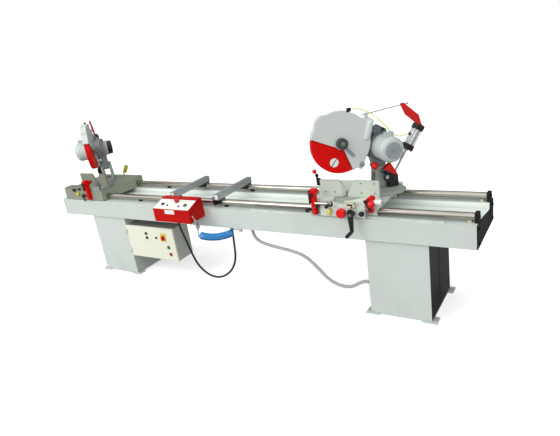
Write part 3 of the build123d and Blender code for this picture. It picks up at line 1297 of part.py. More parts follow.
def blue_hose():
    # A curly air hose: a straight end at the gun, the coil in half turns, a straight end at the elbow
    steps = 2 * COIL_TURNS
    stations = [coil_point(i / steps) for i in range(steps + 1)]
    gun_way = (Vector(*GUN_TAIL) - Vector(*GUN_HEAD)).normalized()
    gun_end = Vector(*GUN_TAIL)
    leave = gun_end + gun_way * COIL_TUBE
    elbow_way = Vector(1, 0, 0)
    elbow = Vector(*ELBOW_FACE)
    arrive = elbow - elbow_way * COIL_TUBE
    edges = [Line(gun_end, leave)] + biarc(leave, gun_way, *stations[0])
    for before, after in zip(stations, stations[1:]):
        edges += biarc(*before, *after)
    edges += biarc(*stations[-1], arrive, elbow_way) + [Line(arrive, elbow)]
    path = Wire([edge.edge() for edge in edges])
    per_turn = 16
    samples = [coil_point(i / (per_turn * COIL_TURNS))[0] for i in range(per_turn * COIL_TURNS + 1)]
    gap = min((after - before).length for before, after in zip(samples, samples[per_turn:])) - COIL_TUBE
    print(f"blue hose: {COIL_TURNS} curls, least gap between curls {gap:.2f} mm")
    return swept(path, COIL_TUBE, "blue hose", (COIL_DIAMETER - COIL_TUBE) / 2)


def gun_plane():
    axis = Vector(*GUN_TAIL) - Vector(*GUN_HEAD)
    return Plane(origin=GUN_HEAD, x_dir=(1, 0, 0.2), z_dir=axis), axis.length


def air_gun():
    # Body, bent nozzle and lever lugs, held by an open clip on the side of the control box
    plane, length = gun_plane()
    radius = GUN_BODY / 2
    body = extrude(plane * Circle(radius), amount=length)
    spout = Plane(origin=GUN_HEAD, z_dir=GUN_NOZZLE_WAY) * Circle(GUN_NOZZLE / 2)
    body += extrude(spout, amount=GUN_NOZZLE_LENGTH)
    lug_side = LEVER_WIDTH / 2 + FREE
    for side in (-lug_side, lug_side):
        body += plane.location * Pos(radius + LEVER_PIVOT_OUT - FREE, side, LEVER_PIVOT) * Box(*GUN_LUG)
    pin = Rot(90, 0, 0) * Cylinder(GUN_PIN / 2, 2 * lug_side + FREE)
    body += plane.location * Pos(radius + LEVER_PIVOT_OUT, 0, LEVER_PIVOT) * pin
    ring = extrude(plane.offset(GUN_CLIP_PLACE) * Circle(radius + GUN_CLIP_WALL), amount=GUN_CLIP)
    middle = plane.offset(GUN_CLIP_PLACE + GUN_CLIP / 2).origin
    ring += block(BOX_LEFT + BOX_WIDTH, middle.X, middle.Y - GUN_CLIP_HALF, middle.Y + GUN_CLIP_HALF,
                  middle.Z - FREE, middle.Z + GUN_CLIP_HALF)
    ring -= extrude(plane * Circle(radius), amount=length)
    mouth = Pos(0.8 * GUN_BODY, 0, length / 3) * Box(GUN_BODY, LEVER_WIDTH + 2 * FREE, length / 2)
    return [body, ring - plane.location * mouth]


def air_gun_lever():
    plane, _ = gun_plane()
    radius = GUN_BODY / 2
    side = polygon([(radius + 2, LEVER_TOP), (radius + 8, LEVER_TOP),
                    (radius + 16, LEVER_END), (radius + 12, LEVER_END)])
    side -= Pos(radius + LEVER_PIVOT_OUT, LEVER_PIVOT) * Circle(GUN_PIN / 2 + RUNNING)
    lever = extrude(Plane.XZ.offset(-LEVER_WIDTH / 2) * side, amount=LEVER_WIDTH)
    return plane.location * lever


def gland(face, way, diameter):
    # A collar round a cord where it enters a wall
    end = Vector(*face) + Vector(*way) * GLAND_LENGTH
    return tube(face, end, diameter * GLAND_SIZE, diameter + 2 * GLAND_CLEAR)


def cable_glands():
    side = PEDESTAL_SPACING / 2 - PEDESTAL_WIDTH / 2
    down = (0, 0, -1)
    x, y, z = ELBOW_FACE
    half = ELBOW_SIZE / 2
    return [
        gland((*CABLE_TOP, BOX_BOTTOM), down, CABLE_DIAMETER * WIDE_GLAND),
        gland((*CABLE_END, BED_BOTTOM), down, CABLE_DIAMETER),
        gland((HOSE_X, HOSE_Y, BED_BOTTOM), down, HOSE_DIAMETER * WIDE_GLAND),
        gland((side, HOSE_Y, HOSE_Z), (-1, 0, 0), HOSE_DIAMETER),
        block(x, x + ELBOW_SIZE, y - half, y + half, z - half, BED_BOTTOM),
    ]


def main():
    os.makedirs("parts", exist_ok=True)
    save("bed_trough", bed_trough())
    save("bed_end_plates", *bed_end_plates())
    save("left_pedestal", pedestal(-PEDESTAL_SPACING / 2))
    save("right_pedestal", pedestal(PEDESTAL_SPACING / 2))
    save("guide_rails", *guide_rails())
    save("rail_holders", *rail_holders())
    save("gear_rack", gear_rack())
    save("cabinet_case", cabinet_case())
    save("cabinet_door", *cabinet_door())
    save("main_switch", main_switch())
    save("start_button", door_button(START_PLACE))
    save("stop_button", door_button(STOP_PLACE))
    save("control_box", *control_box())
    save("left_panel_button", panel_button("left", BUTTON_DIAMETER))
    save("right_panel_button", panel_button("right", BUTTON_DIAMETER))
    save("emergency_stop", panel_button("stop", STOP_HEAD))
    save("left_support_arm", *support_arm(LEFT_SUPPORT_X))
    save("right_support_arm", *support_arm(RIGHT_SUPPORT_X))
    save("cable_glands", *cable_glands())
    save("black_cable", black_cable())
    save("grey_hose", grey_hose())
    save("blue_hose", blue_hose())
    save("air_gun", *air_gun())
    save("air_gun_lever", air_gun_lever())
    save("right_base", *square(right_base(), False))
    save("left_base", *square(left_base(), True))
    save("crank", *square(crank(), False))
    save("carriage_lock", *square(carriage_lock(), False))
    for side, left in (("left", True), ("right", False)):
        clamps = LEFT_CLAMPS if left else RIGHT_CLAMPS
        reach = LEFT_FENCE if left else RIGHT_FENCE
        cap_length = LEFT_HUB_CAP_LENGTH if left else RIGHT_HUB_CAP_LENGTH
        save(f"{side}_fence", *square(fence(*reach), left))
        save(f"{side}_clamp", *square(clamp_bodies(clamps), left))
        save(f"{side}_clamp_rods", *square(clamp_rods(clamps), left))
        save(f"{side}_turntable", *turned(turntable(), left))
        save(f"{side}_arm", *turned(arm(), left))
        save(f"{side}_blade_guard", *turned(blade_guard(cap_length), left))
        save(f"{side}_lower_guard", *turned(lower_guard(), left))
        save(f"{side}_saw_blade", *turned(saw_blade(), left))
        save(f"{side}_spindle", *turned(spindle(), left))
        save(f"{side}_motor", *turned(motor(), left))
        save(f"{side}_motor_shaft", *turned(motor_shaft(), left))
        save(f"{side}_drive_belt", *turned(drive_belt(), left))
        save(f"{side}_air_cylinder", *turned(air_cylinder(), left))
        save(f"{side}_piston_rod", *turned(piston_rod(), left))
        save(f"{side}_stay_bracket", *turned(stay_bracket(), left))
        save(f"{side}_air_hose", *turned(head_air_hose(), left))


main()
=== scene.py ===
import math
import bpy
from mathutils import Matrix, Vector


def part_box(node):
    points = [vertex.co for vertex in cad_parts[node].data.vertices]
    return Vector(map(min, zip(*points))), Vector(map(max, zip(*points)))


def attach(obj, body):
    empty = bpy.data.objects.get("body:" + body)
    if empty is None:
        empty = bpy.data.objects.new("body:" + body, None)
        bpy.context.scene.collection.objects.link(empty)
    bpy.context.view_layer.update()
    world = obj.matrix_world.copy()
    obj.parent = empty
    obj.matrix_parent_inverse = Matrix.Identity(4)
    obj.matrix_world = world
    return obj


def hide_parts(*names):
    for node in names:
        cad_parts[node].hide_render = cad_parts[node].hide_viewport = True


bl_info = {
    "name": "Double mitre saw",
    "version": (1, 0, 0),
    "blender": (4, 5, 0),
    "location": "View3D > Sidebar > Mitre saw",
    "description": "Finishes, cords and small fittings of a double mitre saw, built round its CAD frame",
    "category": "Object",
}

from functools import partial

import bmesh
import bpy
from bpy.props import FloatProperty, FloatVectorProperty, IntProperty, PointerProperty
from bpy.types import NodeSocket, Operator, Panel, PropertyGroup
from mathutils import Matrix, Vector

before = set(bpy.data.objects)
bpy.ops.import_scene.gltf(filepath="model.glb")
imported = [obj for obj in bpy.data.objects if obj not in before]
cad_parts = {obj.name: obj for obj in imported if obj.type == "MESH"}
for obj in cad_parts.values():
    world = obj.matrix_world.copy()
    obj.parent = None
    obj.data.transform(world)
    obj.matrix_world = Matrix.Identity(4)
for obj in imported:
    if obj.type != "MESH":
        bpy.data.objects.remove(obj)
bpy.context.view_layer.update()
MM = 0.001
SIDES = ("left", "right")

# Directions
FRONT = Vector((0.0, -1.0, 0.0))
RIGHT = Vector((1.0, 0.0, 0.0))
UP = Vector((0.0, 0.0, 1.0))
OUTWARD = {"left": -1.0, "right": 1.0}

# Where the heads stand in the frame, in metres, and how far they are turned from square
HEAD_PLACE = {"left": Vector((-1.630, -0.158, 0.0)), "right": Vector((1.135, -0.158, 0.0))}
HEAD_TURN = math.radians(45.0)

# Places in the frame, in millimetres
BED_ENDS = {"left": -2135.0, "right": 2065.0}
RAIL_Y = (-205.0, 205.0)
RAIL_Z = 826.0
PEDESTAL_SIDE = 1741.8
BOX_FRONT = -475.0
BOX_FRONT_TOP = 831.0
BOX_RUN = 129.0
BOX_RISE = 49.0
BOX_BACK_EDGE = -348.5
APRON_FACE = -300.0
DOOR_FACE = -280.0
LEFT_BASE_FACE = -280.0

# Places in a head's own frame, in millimetres: v out of the blade plane, u to the back, z up
V, U, Z = range(3)
SPINDLE = (-30.0, 1320.0)
PIVOT = (280.0, 1050.0)
MOTOR = (293.0, 1234.0)
MOTOR_END = 185.0
MOTOR_FLANGE = 10.0
LID_V = 121.0
LID_TOP = 1353.0
GUARD_FACE = 28.0
LOWER_GUARD_FACE = 21.0
HUB_END = {"left": 40.0, "right": 72.0}
ARM_FACE = -37.0
COVER_FACE = -99.0
DRUM_END = -170.0
CHEEK_FACE = -14.7
BRACKET_FACE = 16.4
NOZZLE_FOOT = 1528.0
CYLINDER_FOOT = (494.0, 1192.0)
CYLINDER_TILT = math.radians(55.1)
CYLINDER_LENGTH = 158.0
CYLINDER_CAP_HALF = 20.0
CYLINDER_PORT = (505.0, 1287.0)
STAY_BACK = (505.0, 1510.0)
STAY_FRONT = (150.0, 1486.0)

# Zones of another colour in the frame, in metres: from and to, along a direction
# Painted light: the tray inside the bed is lighter than the bed paint, where it lies in shade
LIT_TRAY_HEIGHTS = (0.0, 0.786)
LIT_TRAY_WIDTH = (-0.27, 0.27)
# Painted shade: the left base's top plates take the darker left table colour
LEFT_PLATES = (0.8935, 1.0)
# Painted shade: the cabinet's top, which lies in shadow under the bed
CASE_SHADE_HEIGHTS = (0.5465, 0.56)
ELBOW_SPAN = (0.1, 0.19)
DOOR_FITTINGS = (0.2803, 0.32)
DOOR_SPAN = (-1.2, 0.0)
SHOE_HEIGHTS = (0.7, 0.8559)
# Painted shadow: the outer sides of both pedestals, dark as the side in shade
PEDESTAL_OUTSIDE = (PEDESTAL_SIDE * MM, 2.5)
PEDESTAL_HEIGHTS = (0.011, 0.7)
PANEL_REACH = (-BOX_BACK_EDGE * MM, 1.0)
# Above the control box's slope: the panel sheet, and the collars on it
PANEL_SHEET = (0.0002, 0.00302)
PANEL_COLLARS = (0.00302, 0.05)

# Zones of another colour on a head, in millimetres along v, u or z
FLANGE_V = (-20.0, 10.2)
COWL_V = (MOTOR_END - 3.8, 240.0)
SEAT_V = (ARM_FACE + 0.2, 40.0)
SEAT_U = (200.0, 420.0)
DRUM_V = (-136.0, COVER_FACE - 0.2)
DRUM_CAP_V = (-240.0, -136.0)
LEVER_V = (GUARD_FACE + 0.3, 90.0)
NOZZLE_Z = (NOZZLE_FOOT, 1600.0)
NOZZLE_U = (30.0, 90.0)
HUB_RADIUS = 38.5
STAY_RADIUS = 4.2
BRACKET_V = (CHEEK_FACE + 0.2, 60.0)
BRACKET_U = (284.0, 500.0)
BRACKET_BACK_U = (357.0, 500.0)
# The rod bracket is red above a line that falls to the back, and black below it
BRACKET_SLOPE = math.radians(58.0)
BRACKET_RED = (1052.0, 1400.0)
BRACKET_BLACK_Z = (916.0, 1060.0)


# Frames of reference

def head_axes(side):
    """The head's v and u directions in the frame."""
    way = OUTWARD[side]
    reach = math.cos(HEAD_TURN)
    return Vector((way * reach, -reach, 0.0)), Vector((way * reach, reach, 0.0))


def head_point(side, v, u, z):
    """A point of the head, given in millimetres, in the frame."""
    out, back = head_axes(side)
    return HEAD_PLACE[side] + out * (v * MM) + back * (u * MM) + Vector((0.0, 0.0, z * MM))


def placed(origin, *axes):
    """The matrix of a place with these three axes."""
    rows = [(*(axis[row] for axis in axes), origin[row]) for row in range(3)]
    return Matrix((*rows, (0.0, 0.0, 0.0, 1.0)))


def facing(origin, way):
    """A place whose z axis looks along a direction, and whose y axis is up where it can be."""
    way = way.normalized()
    side = UP.cross(way)
    if side.length < 1e-6:
        side = RIGHT.copy()
    side.normalize()
    return placed(Vector(origin), side, way.cross(side), way)


def at(x, y, z, way):
    """A place in the frame, given in millimetres, that looks along a direction."""
    return facing(Vector((x, y, z)) * MM, way)


def on_front(face, x, z):
    """A place on an upright face that looks to the front, given in millimetres."""
    return at(x, face, z, FRONT)


def along_bed(x):
    """The frame, shifted along the bed by millimetres."""
    return Matrix.Translation((x * MM, 0.0, 0.0))


def on_head(side, v, u, z, way=1.0):
    """A place on the head that looks along v, or with way -1 against it; x is u and y is z."""
    out, back = head_axes(side)
    return placed(head_point(side, v, u, z), back, UP, out * way)


def cylinder_axis(side):
    return head_axes(side)[1] * math.cos(CYLINDER_TILT) + UP * math.sin(CYLINDER_TILT)


def on_cylinder(side, along):
    """A place on the air cylinder's axis that looks up along it; x is to the front, y is v."""
    out, back = head_axes(side)
    axis = cylinder_axis(side)
    forward = UP * math.cos(CYLINDER_TILT) - back * math.sin(CYLINDER_TILT)
    return placed(head_point(side, 0, *CYLINDER_FOOT) + axis * (along * MM), forward, out, axis)


def panel_tilt():
    """The slope of the control box's panel, and the direction that it faces."""
    tilt = math.atan2(BOX_RISE, BOX_RUN)
    return tilt, Vector((0.0, -math.sin(tilt), math.cos(tilt)))


def moved(place, x=0.0, y=0.0, turn=0.0):
    """A place shifted across itself, in millimetres, or turned about its z axis, in degrees."""
    return place @ Matrix.Translation((x * MM, y * MM, 0.0)) @ Matrix.Rotation(math.radians(turn), 4, "Z")


# Colours

WHITE = (1.0, 1.0, 1.0, 1.0)
GREY = (0.5, 0.5, 0.5, 1.0)


def linear(colour):
    """A screen colour, as the nodes want it."""
    steps = [c / 12.92 if c <= 0.04045 else ((c + 0.055) / 1.055) ** 2.4 for c in colour]
    return (*steps, 1.0)


def shaded(colour, amount):
    return (*[c * amount for c in colour[:3]], 1.0)


CHIPPED = linear((0.42, 0.43, 0.42))


# Node trees

# The sockets of a Mix node for each kind of data: both inputs, and the output
MIX_SOCKETS = {"RGBA": (6, 7, 2), "FLOAT": (2, 3, 0)}
# The kind of a group's socket, by how many numbers its value has
SOCKET_KINDS = {1: "NodeSocketFloat", 3: "NodeSocketVector", 4: "NodeSocketColor"}
# What the groups of a skin and of a zone put out, with a value of the kind
SKIN = {"Color": WHITE, "Roughness": 0.5, "Height": 0.5, "Normal": (0.0, 0.0, 1.0)}
MASK = {"Mask": 1.0}


class Tree:
    """A node tree, with a method for each kind of step."""

    def __init__(self, data):
        self.data = data

    def node(self, kind, **options):
        step = self.data.nodes.new(f"ShaderNode{kind}")
        for title, value in options.items():
            setattr(step, title, value)
        return step

    def plug(self, target, source):
        """Links a socket, or sets a plain value."""
        if isinstance(source, NodeSocket):
            self.data.links.new(source, target)
        else:
            target.default_value = source

    def plug_all(self, targets, **sources):
        for title, source in sources.items():
            self.plug(targets[title], source)

    def math(self, operation, *values, clamp=False):
        step = self.node("Math", operation=operation, use_clamp=clamp)
        for target, value in zip(step.inputs, values):
            self.plug(target, value)
        return step.outputs[0]

    def times(self, first, second):
        return self.math("MULTIPLY", first, second)

    def vector(self, operation, *values):
        step = self.node("VectorMath", operation=operation)
        for target, value in zip(step.inputs, values):
            self.plug(target, value)
        return step.outputs["Value" if operation in ("DOT_PRODUCT", "LENGTH") else "Vector"]

    def ramp(self, value, low, high):
        """0 at low, 1 at high, smooth between."""
        step = self.node("MapRange", interpolation_type="SMOOTHSTEP")
        self.plug(step.inputs["Value"], value)
        self.plug(step.inputs["From Min"], low)
        self.plug(step.inputs["From Max"], high)
        return step.outputs["Result"]

    def mix(self, amount, first, second, kind="RGBA"):
        """Blends two colours, or with kind FLOAT two plain values."""
        step = self.node("Mix", data_type=kind)
        one, other, result = MIX_SOCKETS[kind]
        self.plug(step.inputs[0], amount)
        self.plug(step.inputs[one], first)
        self.plug(step.inputs[other], second)
        return step.outputs[result]

    def noise(self, place, scale, detail=2.0):
        step = self.node("TexNoise")
        self.plug_all(step.inputs, Vector=place, Scale=scale, Detail=detail)
        return step.outputs[0]

    def place(self):
        return self.node("TexCoord").outputs["Object"]

    def group(self, group, **values):
        step = self.node("Group", node_tree=group)
        self.plug_all(step.inputs, **values)
        return step.outputs


def new_group(name, outputs, **inputs):
    """A shader node group: its tree, the sockets that bring its inputs and those that take its outputs."""
    data = bpy.data.node_groups.new(name, "ShaderNodeTree")
    for way, sockets in (("INPUT", inputs), ("OUTPUT", outputs)):
        for title, value in sockets.items():
            kind = SOCKET_KINDS[len(value) if isinstance(value, tuple) else 1]
            socket = data.interface.new_socket(name=title, in_out=way, socket_type=kind)
            socket.default_value = value
    given = data.nodes.new("NodeGroupInput")
    result = data.nodes.new("NodeGroupOutput")
    return Tree(data), given.outputs, result.inputs


def soft_edges_group():
    """Rounds sharp edges in the light, and tells where they are."""
    tree, given, result = new_group("Soft edges", {"Normal": (0.0, 0.0, 1.0), "Edge": 0.0}, Radius=0.002)
    bevel = tree.node("Bevel", samples=4)
    tree.plug(bevel.inputs["Radius"], given["Radius"])
    surface = tree.node("NewGeometry")
    likeness = tree.vector("DOT_PRODUCT", bevel.outputs["Normal"], surface.outputs["Normal"])
    tree.plug_all(result, Normal=bevel.outputs["Normal"], Edge=tree.ramp(likeness, 0.995, 0.88))
    return tree.data


def painted_group(soft_edges):
    """Sprayed paint: broad tone changes, specks, dust near the floor, painted shade in corners, chipped
    edges.
    """
    tree, given, result = new_group(
        "Painted metal", SKIN, Colour=WHITE, Shade=GREY, Wear=0.3, Radius=0.002, Gloss=0.35, Grime=0.75)
    place = tree.place()
    edges = tree.group(soft_edges, Radius=given["Radius"])
    broad = tree.ramp(tree.noise(place, 2.3, 5.0), 0.36, 0.72)
    specks = tree.ramp(tree.noise(place, 130.0, 3.0), 0.69, 0.77)
    height = tree.node("SeparateXYZ")
    tree.plug(height.inputs[0], place)
    low = tree.ramp(height.outputs["Z"], 0.26, 0.0)
    dust = tree.times(low, tree.ramp(tree.noise(place, 9.0, 6.0), 0.3, 0.8))
    chips = tree.times(tree.ramp(tree.noise(place, 55.0, 6.0), 0.54, 0.66), edges["Edge"])
    chips = tree.math("MULTIPLY", chips, given["Wear"], clamp=True)
    tone = given["Colour"]
    for amount, share in ((broad, 0.3), (specks, 0.35), (dust, 0.35)):
        tone = tree.mix(tree.times(amount, share), tone, given["Shade"])
    # Painted shade: ambient occlusion darkens the paint in the piece's own corners and creases
    corners = tree.node("AmbientOcclusion", samples=8, only_local=True)
    corners.inputs["Distance"].default_value = 0.06
    corner_shade = tree.times(tree.ramp(corners.outputs["AO"], 0.85, 0.15), given["Grime"])
    tone = tree.mix(corner_shade, tone, tree.vector("MULTIPLY", given["Shade"], (0.35, 0.35, 0.33)))
    dull = tree.math("MULTIPLY_ADD", broad, 0.12, given["Gloss"])
    tree.plug_all(
        result,
        Color=tree.mix(chips, tone, CHIPPED),
        Roughness=tree.math("MAXIMUM", dull, tree.times(dust, 0.7)),
        Height=tree.noise(place, 260.0),
        Normal=edges["Normal"])
    return tree.data


def machined_group(soft_edges):
    """Bare metal with tool marks drawn out along one direction, and faint stains."""
    tree, given, result = new_group(
        "Machined metal", SKIN, Colour=WHITE, Shade=GREY, Stretch=(300.0, 300.0, 300.0), Gloss=0.28,
        Radius=0.001)
    place = tree.place()
    edges = tree.group(soft_edges, Radius=given["Radius"])
    marks = tree.noise(tree.vector("MULTIPLY", place, given["Stretch"]), 1.0, 3.0)
    stains = tree.ramp(tree.noise(place, 7.0, 5.0), 0.45, 0.8)
    tone = tree.mix(tree.ramp(marks, 0.35, 0.75), given["Colour"], given["Shade"])
    rough = tree.math("MULTIPLY_ADD", marks, 0.16, given["Gloss"])
    tree.plug_all(
        result,
        Color=tree.mix(tree.times(stains, 0.3), tone, given["Shade"]),
        Roughness=tree.math("ADD", rough, tree.times(stains, 0.08)),
        Height=marks,
        Normal=edges["Normal"])
    return tree.data


def moulded_group(soft_edges):
    """Moulded plastic or rubber: fine grain, slightly greyed on its edges."""
    tree, given, result = new_group("Moulded plastic", SKIN, Colour=WHITE, Shade=GREY, Gloss=0.4)
    place = tree.place()
    edges = tree.group(soft_edges, Radius=0.001)
    smears = tree.ramp(tree.noise(place, 28.0, 4.0), 0.4, 0.75)
    amount = tree.math("MULTIPLY_ADD", edges["Edge"], 0.25, tree.times(smears, 0.3))
    tree.plug_all(
        result,
        Color=tree.mix(amount, given["Colour"], given["Shade"]),
        Roughness=tree.math("MULTIPLY_ADD", smears, 0.14, given["Gloss"]),
        Height=tree.noise(place, 900.0),
        Normal=edges["Normal"])
    return tree.data


def slab_group():
    """1 between two planes across a direction."""
    tree, given, result = new_group("Slab", MASK, Way=(0.0, 0.0, 1.0), Low=0.0, High=1.0)
    reach = tree.vector("DOT_PRODUCT", tree.place(), given["Way"])
    above = tree.math("GREATER_THAN", reach, given["Low"])
    below = tree.math("LESS_THAN", reach, given["High"])
    tree.plug(result["Mask"], tree.times(above, below))
    return tree.data


def round_group():
    """1 inside a cylinder round an axis."""
    tree, given, result = new_group(
        "Round zone", MASK, Centre=(0.0, 0.0, 0.0), Way=(0.0, 0.0, 1.0), Radius=0.1)
    offset = tree.vector("SUBTRACT", tree.place(), given["Centre"])
    across = tree.vector("CROSS_PRODUCT", offset, given["Way"])
    tree.plug(result["Mask"], tree.math("LESS_THAN", tree.vector("LENGTH", across), given["Radius"]))
    return tree.data


GROUPS = {}


def make_groups():
    soft_edges = soft_edges_group()
    GROUPS["painted"] = painted_group(soft_edges)
    GROUPS["machined"] = machined_group(soft_edges)
    GROUPS["moulded"] = moulded_group(soft_edges)
    GROUPS["slab"] = slab_group()
    GROUPS["round"] = round_group()


# Zones of colour

def slab(way, low, high):
    """Between two planes across a direction, in metres."""
    return "slab", {"Way": way, "Low": low, "High": high}


def round_zone(centre, way, radius):
    """Inside a cylinder round an axis; the radius in millimetres."""
    return "round", {"Centre": centre, "Way": way, "Radius": radius * MM}


def head_slab(side, axis, low, high):
    """Between two planes of the head, in millimetres, across its v, u or z axis."""
    way = (*head_axes(side), UP)[axis]
    start = HEAD_PLACE[side].dot(way)
    return slab(way, start + low * MM, start + high * MM)


def tilted_slab(side, angle, low, high):
    """Between two planes, in millimetres, across a direction in the blade plane at an angle above u."""
    way = head_axes(side)[1] * math.cos(angle) + UP * math.sin(angle)
    start = HEAD_PLACE[side].dot(way)
    return slab(way, start + low * MM, start + high * MM)


def zone_mask(tree, masks):
    """1 where every mask of a zone is 1."""
    total = 1.0
    for kind, values in masks:
        total = tree.times(tree.group(GROUPS[kind], **values)["Mask"], total)
    return total


# Finishes

TONES = {}
MATERIALS = {}
# How metallic a zone of these colours is; the other colours are paint
ZONE_METAL = {"steel": 1.0, "aluminium": 1.0, "dark": 0.3}
RELIEF_STRENGTH = 0.15
RELIEF_DEPTH = 0.0004


def finish(kind, name, title, zones=(), metallic=0.0, coat=0.0, shade=0.62, shine=0.5, **values):
    """A material on one of the groups, in a colour. Each zone has the title of its colour and its masks."""
    material = bpy.data.materials.new(name)
    material.use_nodes = True
    tree = Tree(material.node_tree)
    shader = tree.data.nodes["Principled BSDF"]
    tone = TONES[title]
    dark = shaded(tone, shade)
    metal = metallic
    for zone_title, *masks in zones:
        mask = zone_mask(tree, masks)
        tone = tree.mix(mask, tone, TONES[zone_title])
        dark = tree.mix(mask, dark, shaded(TONES[zone_title], shade))
        zone_metal = ZONE_METAL.get(zone_title, 0.0)
        if zone_metal != metallic:
            metal = tree.mix(mask, metal, zone_metal, "FLOAT")
    skin = tree.group(GROUPS[kind], Colour=tone, Shade=dark, **values)
    relief = tree.node("Bump")
    tree.plug_all(relief.inputs, Strength=RELIEF_STRENGTH, Distance=RELIEF_DEPTH, Height=skin["Height"],
                  Normal=skin["Normal"])
    tree.plug(shader.inputs["Base Color"], skin["Color"])
    tree.plug_all(shader.inputs, Roughness=skin["Roughness"], Metallic=metal, Normal=relief.outputs["Normal"])
    shader.inputs["Coat Weight"].default_value = coat
    shader.inputs["Specular IOR Level"].default_value = shine
    MATERIALS[name] = material


painted = partial(finish, "painted")
machined = partial(finish, "machined", metallic=1.0)
moulded = partial(finish, "moulded")


# Meshes

def turned(profile, place, steps=32, closed=False):
    """A turned form: profile points are radius and height, in millimetres, along the place's z axis.

    A closed profile makes a ring, which has no end faces."""
    part = bmesh.new()
    angles = [2 * math.pi * step / steps for step in range(steps)]
    rows = []
    for radius, height in profile:
        row = []
        for angle in angles if radius > 1e-6 else angles[:1]:
            point = Vector((radius * math.cos(angle), radius * math.sin(angle), height)) * MM
            row.append(part.verts.new(place @ point))
        rows.append(row)
    if closed:
        rows.append(rows[0])
    for lower, upper in zip(rows, rows[1:]):
        for step in range(steps):
            after = (step + 1) % steps
            corners = [lower[step % len(lower)], lower[after % len(lower)],
                       upper[after % len(upper)], upper[step % len(upper)]]
            unique = list(dict.fromkeys(corners))
            if len(unique) > 2:
                part.faces.new(unique)
    if not closed:
        for end in (rows[0][::-1], rows[-1]):
            if len(end) > 1:
                part.faces.new(end)
    return part


def ring(inner, outer, low, high, place, steps=48):
    """A flat ring with softened edges, apart from the lower one inside."""
    soft = min(outer - inner, high - low) * 0.3
    shape = ((inner, low), (outer - soft, low), (outer, low + soft), (outer, high - soft),
             (outer - soft, high), (inner + soft, high), (inner, high - soft))
    return turned(shape, place, steps, closed=True)


def ball(radius, place, steps=14):
    angles = [math.pi * step / steps for step in range(steps + 1)]
    return turned([(radius * math.sin(a), -radius * math.cos(a)) for a in angles], place, 2 * steps)


def round_outline(width, height, corner, steps=6):
    """A rectangle with round corners, about its middle."""
    points = []
    for turn, (x, y) in enumerate(((1, 1), (-1, 1), (-1, -1), (1, -1))):
        for step in range(steps + 1):
            angle = math.pi / 2 * (turn + step / steps)
            points.append((x * (width / 2 - corner) + corner * math.cos(angle),
                           y * (height / 2 - corner) + corner * math.sin(angle)))
    return points


def lobed_outline(radius, dip, lobes, steps=6):
    """A knob's outline, with dips between its lobes."""
    points = []
    for step in range(lobes * steps):
        angle = 2 * math.pi * step / (lobes * steps)
        reach = radius - dip * (0.5 - 0.5 * math.cos(lobes * angle))
        points.append((reach * math.cos(angle), reach * math.sin(angle)))
    return points


def half_disc(radius, gap, turn, way, steps=20):
    """One half of a disc beside a slot of a given width, turned about the disc's middle."""
    start = math.asin(gap / 2 / radius)
    points = []
    for step in range(steps + 1):
        angle = start + (math.pi - 2 * start) * step / steps
        x = radius * math.cos(angle)
        y = radius * math.sin(angle) * way
        points.append((x * math.cos(turn) - y * math.sin(turn), x * math.sin(turn) + y * math.cos(turn)))
    return points


def prism(outline, low, high, place, bevel=0.0):
    """An outline in the place's x and y, in millimetres, raised from low to high along its z axis."""
    part = bmesh.new()
    bottom = [part.verts.new(Vector((x, y, low)) * MM) for x, y in outline]
    top = [part.verts.new(Vector((x, y, high)) * MM) for x, y in outline]
    part.faces.new(reversed(bottom))
    part.faces.new(top)
    for step in range(len(outline)):
        after = (step + 1) % len(outline)
        part.faces.new((bottom[step], bottom[after], top[after], top[step]))
    if bevel:
        bmesh.ops.bevel(part, geom=part.edges[:], offset=bevel * MM, segments=2, affect="EDGES", profile=0.6)
    part.transform(place)
    return part


def round_plate(width, height, corner, low, high, place, bevel):
    """A plate or bar with round corners."""
    return prism(round_outline(width, height, corner), low, high, place, bevel)


def block(low, high, place=Matrix.Identity(4), bevel=0.0):
    """A box between two corners of the place, or of the frame, in millimetres."""
    outline = ((low[0], low[1]), (high[0], low[1]), (high[0], high[1]), (low[0], high[1]))
    return prism(outline, low[2], high[2], place, bevel)


def holed_plate(width, low, high, hole, thickness, place, steps=48):
    """A rectangular plate with a round hole: low and high are its edges, from the middle of the hole."""
    part = bmesh.new()
    half = width / 2
    angles = [2 * math.pi * step / steps for step in range(steps)]
    angles += [math.atan2(y, x) % (2 * math.pi) for x in (-half, half) for y in (low, high)]
    loops = []
    for height in (0.0, thickness):
        inner = []
        outer = []
        for angle in sorted(set(angles)):
            x = math.cos(angle)
            y = math.sin(angle)
            reach = min(half / max(abs(x), 1e-9), (high if y > 0 else -low) / max(abs(y), 1e-9))
            inner.append(part.verts.new(place @ (Vector((hole * x, hole * y, height)) * MM)))
            outer.append(part.verts.new(place @ (Vector((reach * x, reach * y, height)) * MM)))
        loops.append((inner, outer))
    (inner_low, outer_low), (inner_high, outer_high) = loops
    for one, other in ((inner_low, outer_low), (outer_low, outer_high), (outer_high, inner_high),
                       (inner_high, inner_low)):
        for step in range(len(one)):
            after = (step + 1) % len(one)
            part.faces.new((one[step], one[after], other[after], other[step]))
    return part


# How far a roll reaches into the face that it lies on
ROLL_SUNK = 1.0


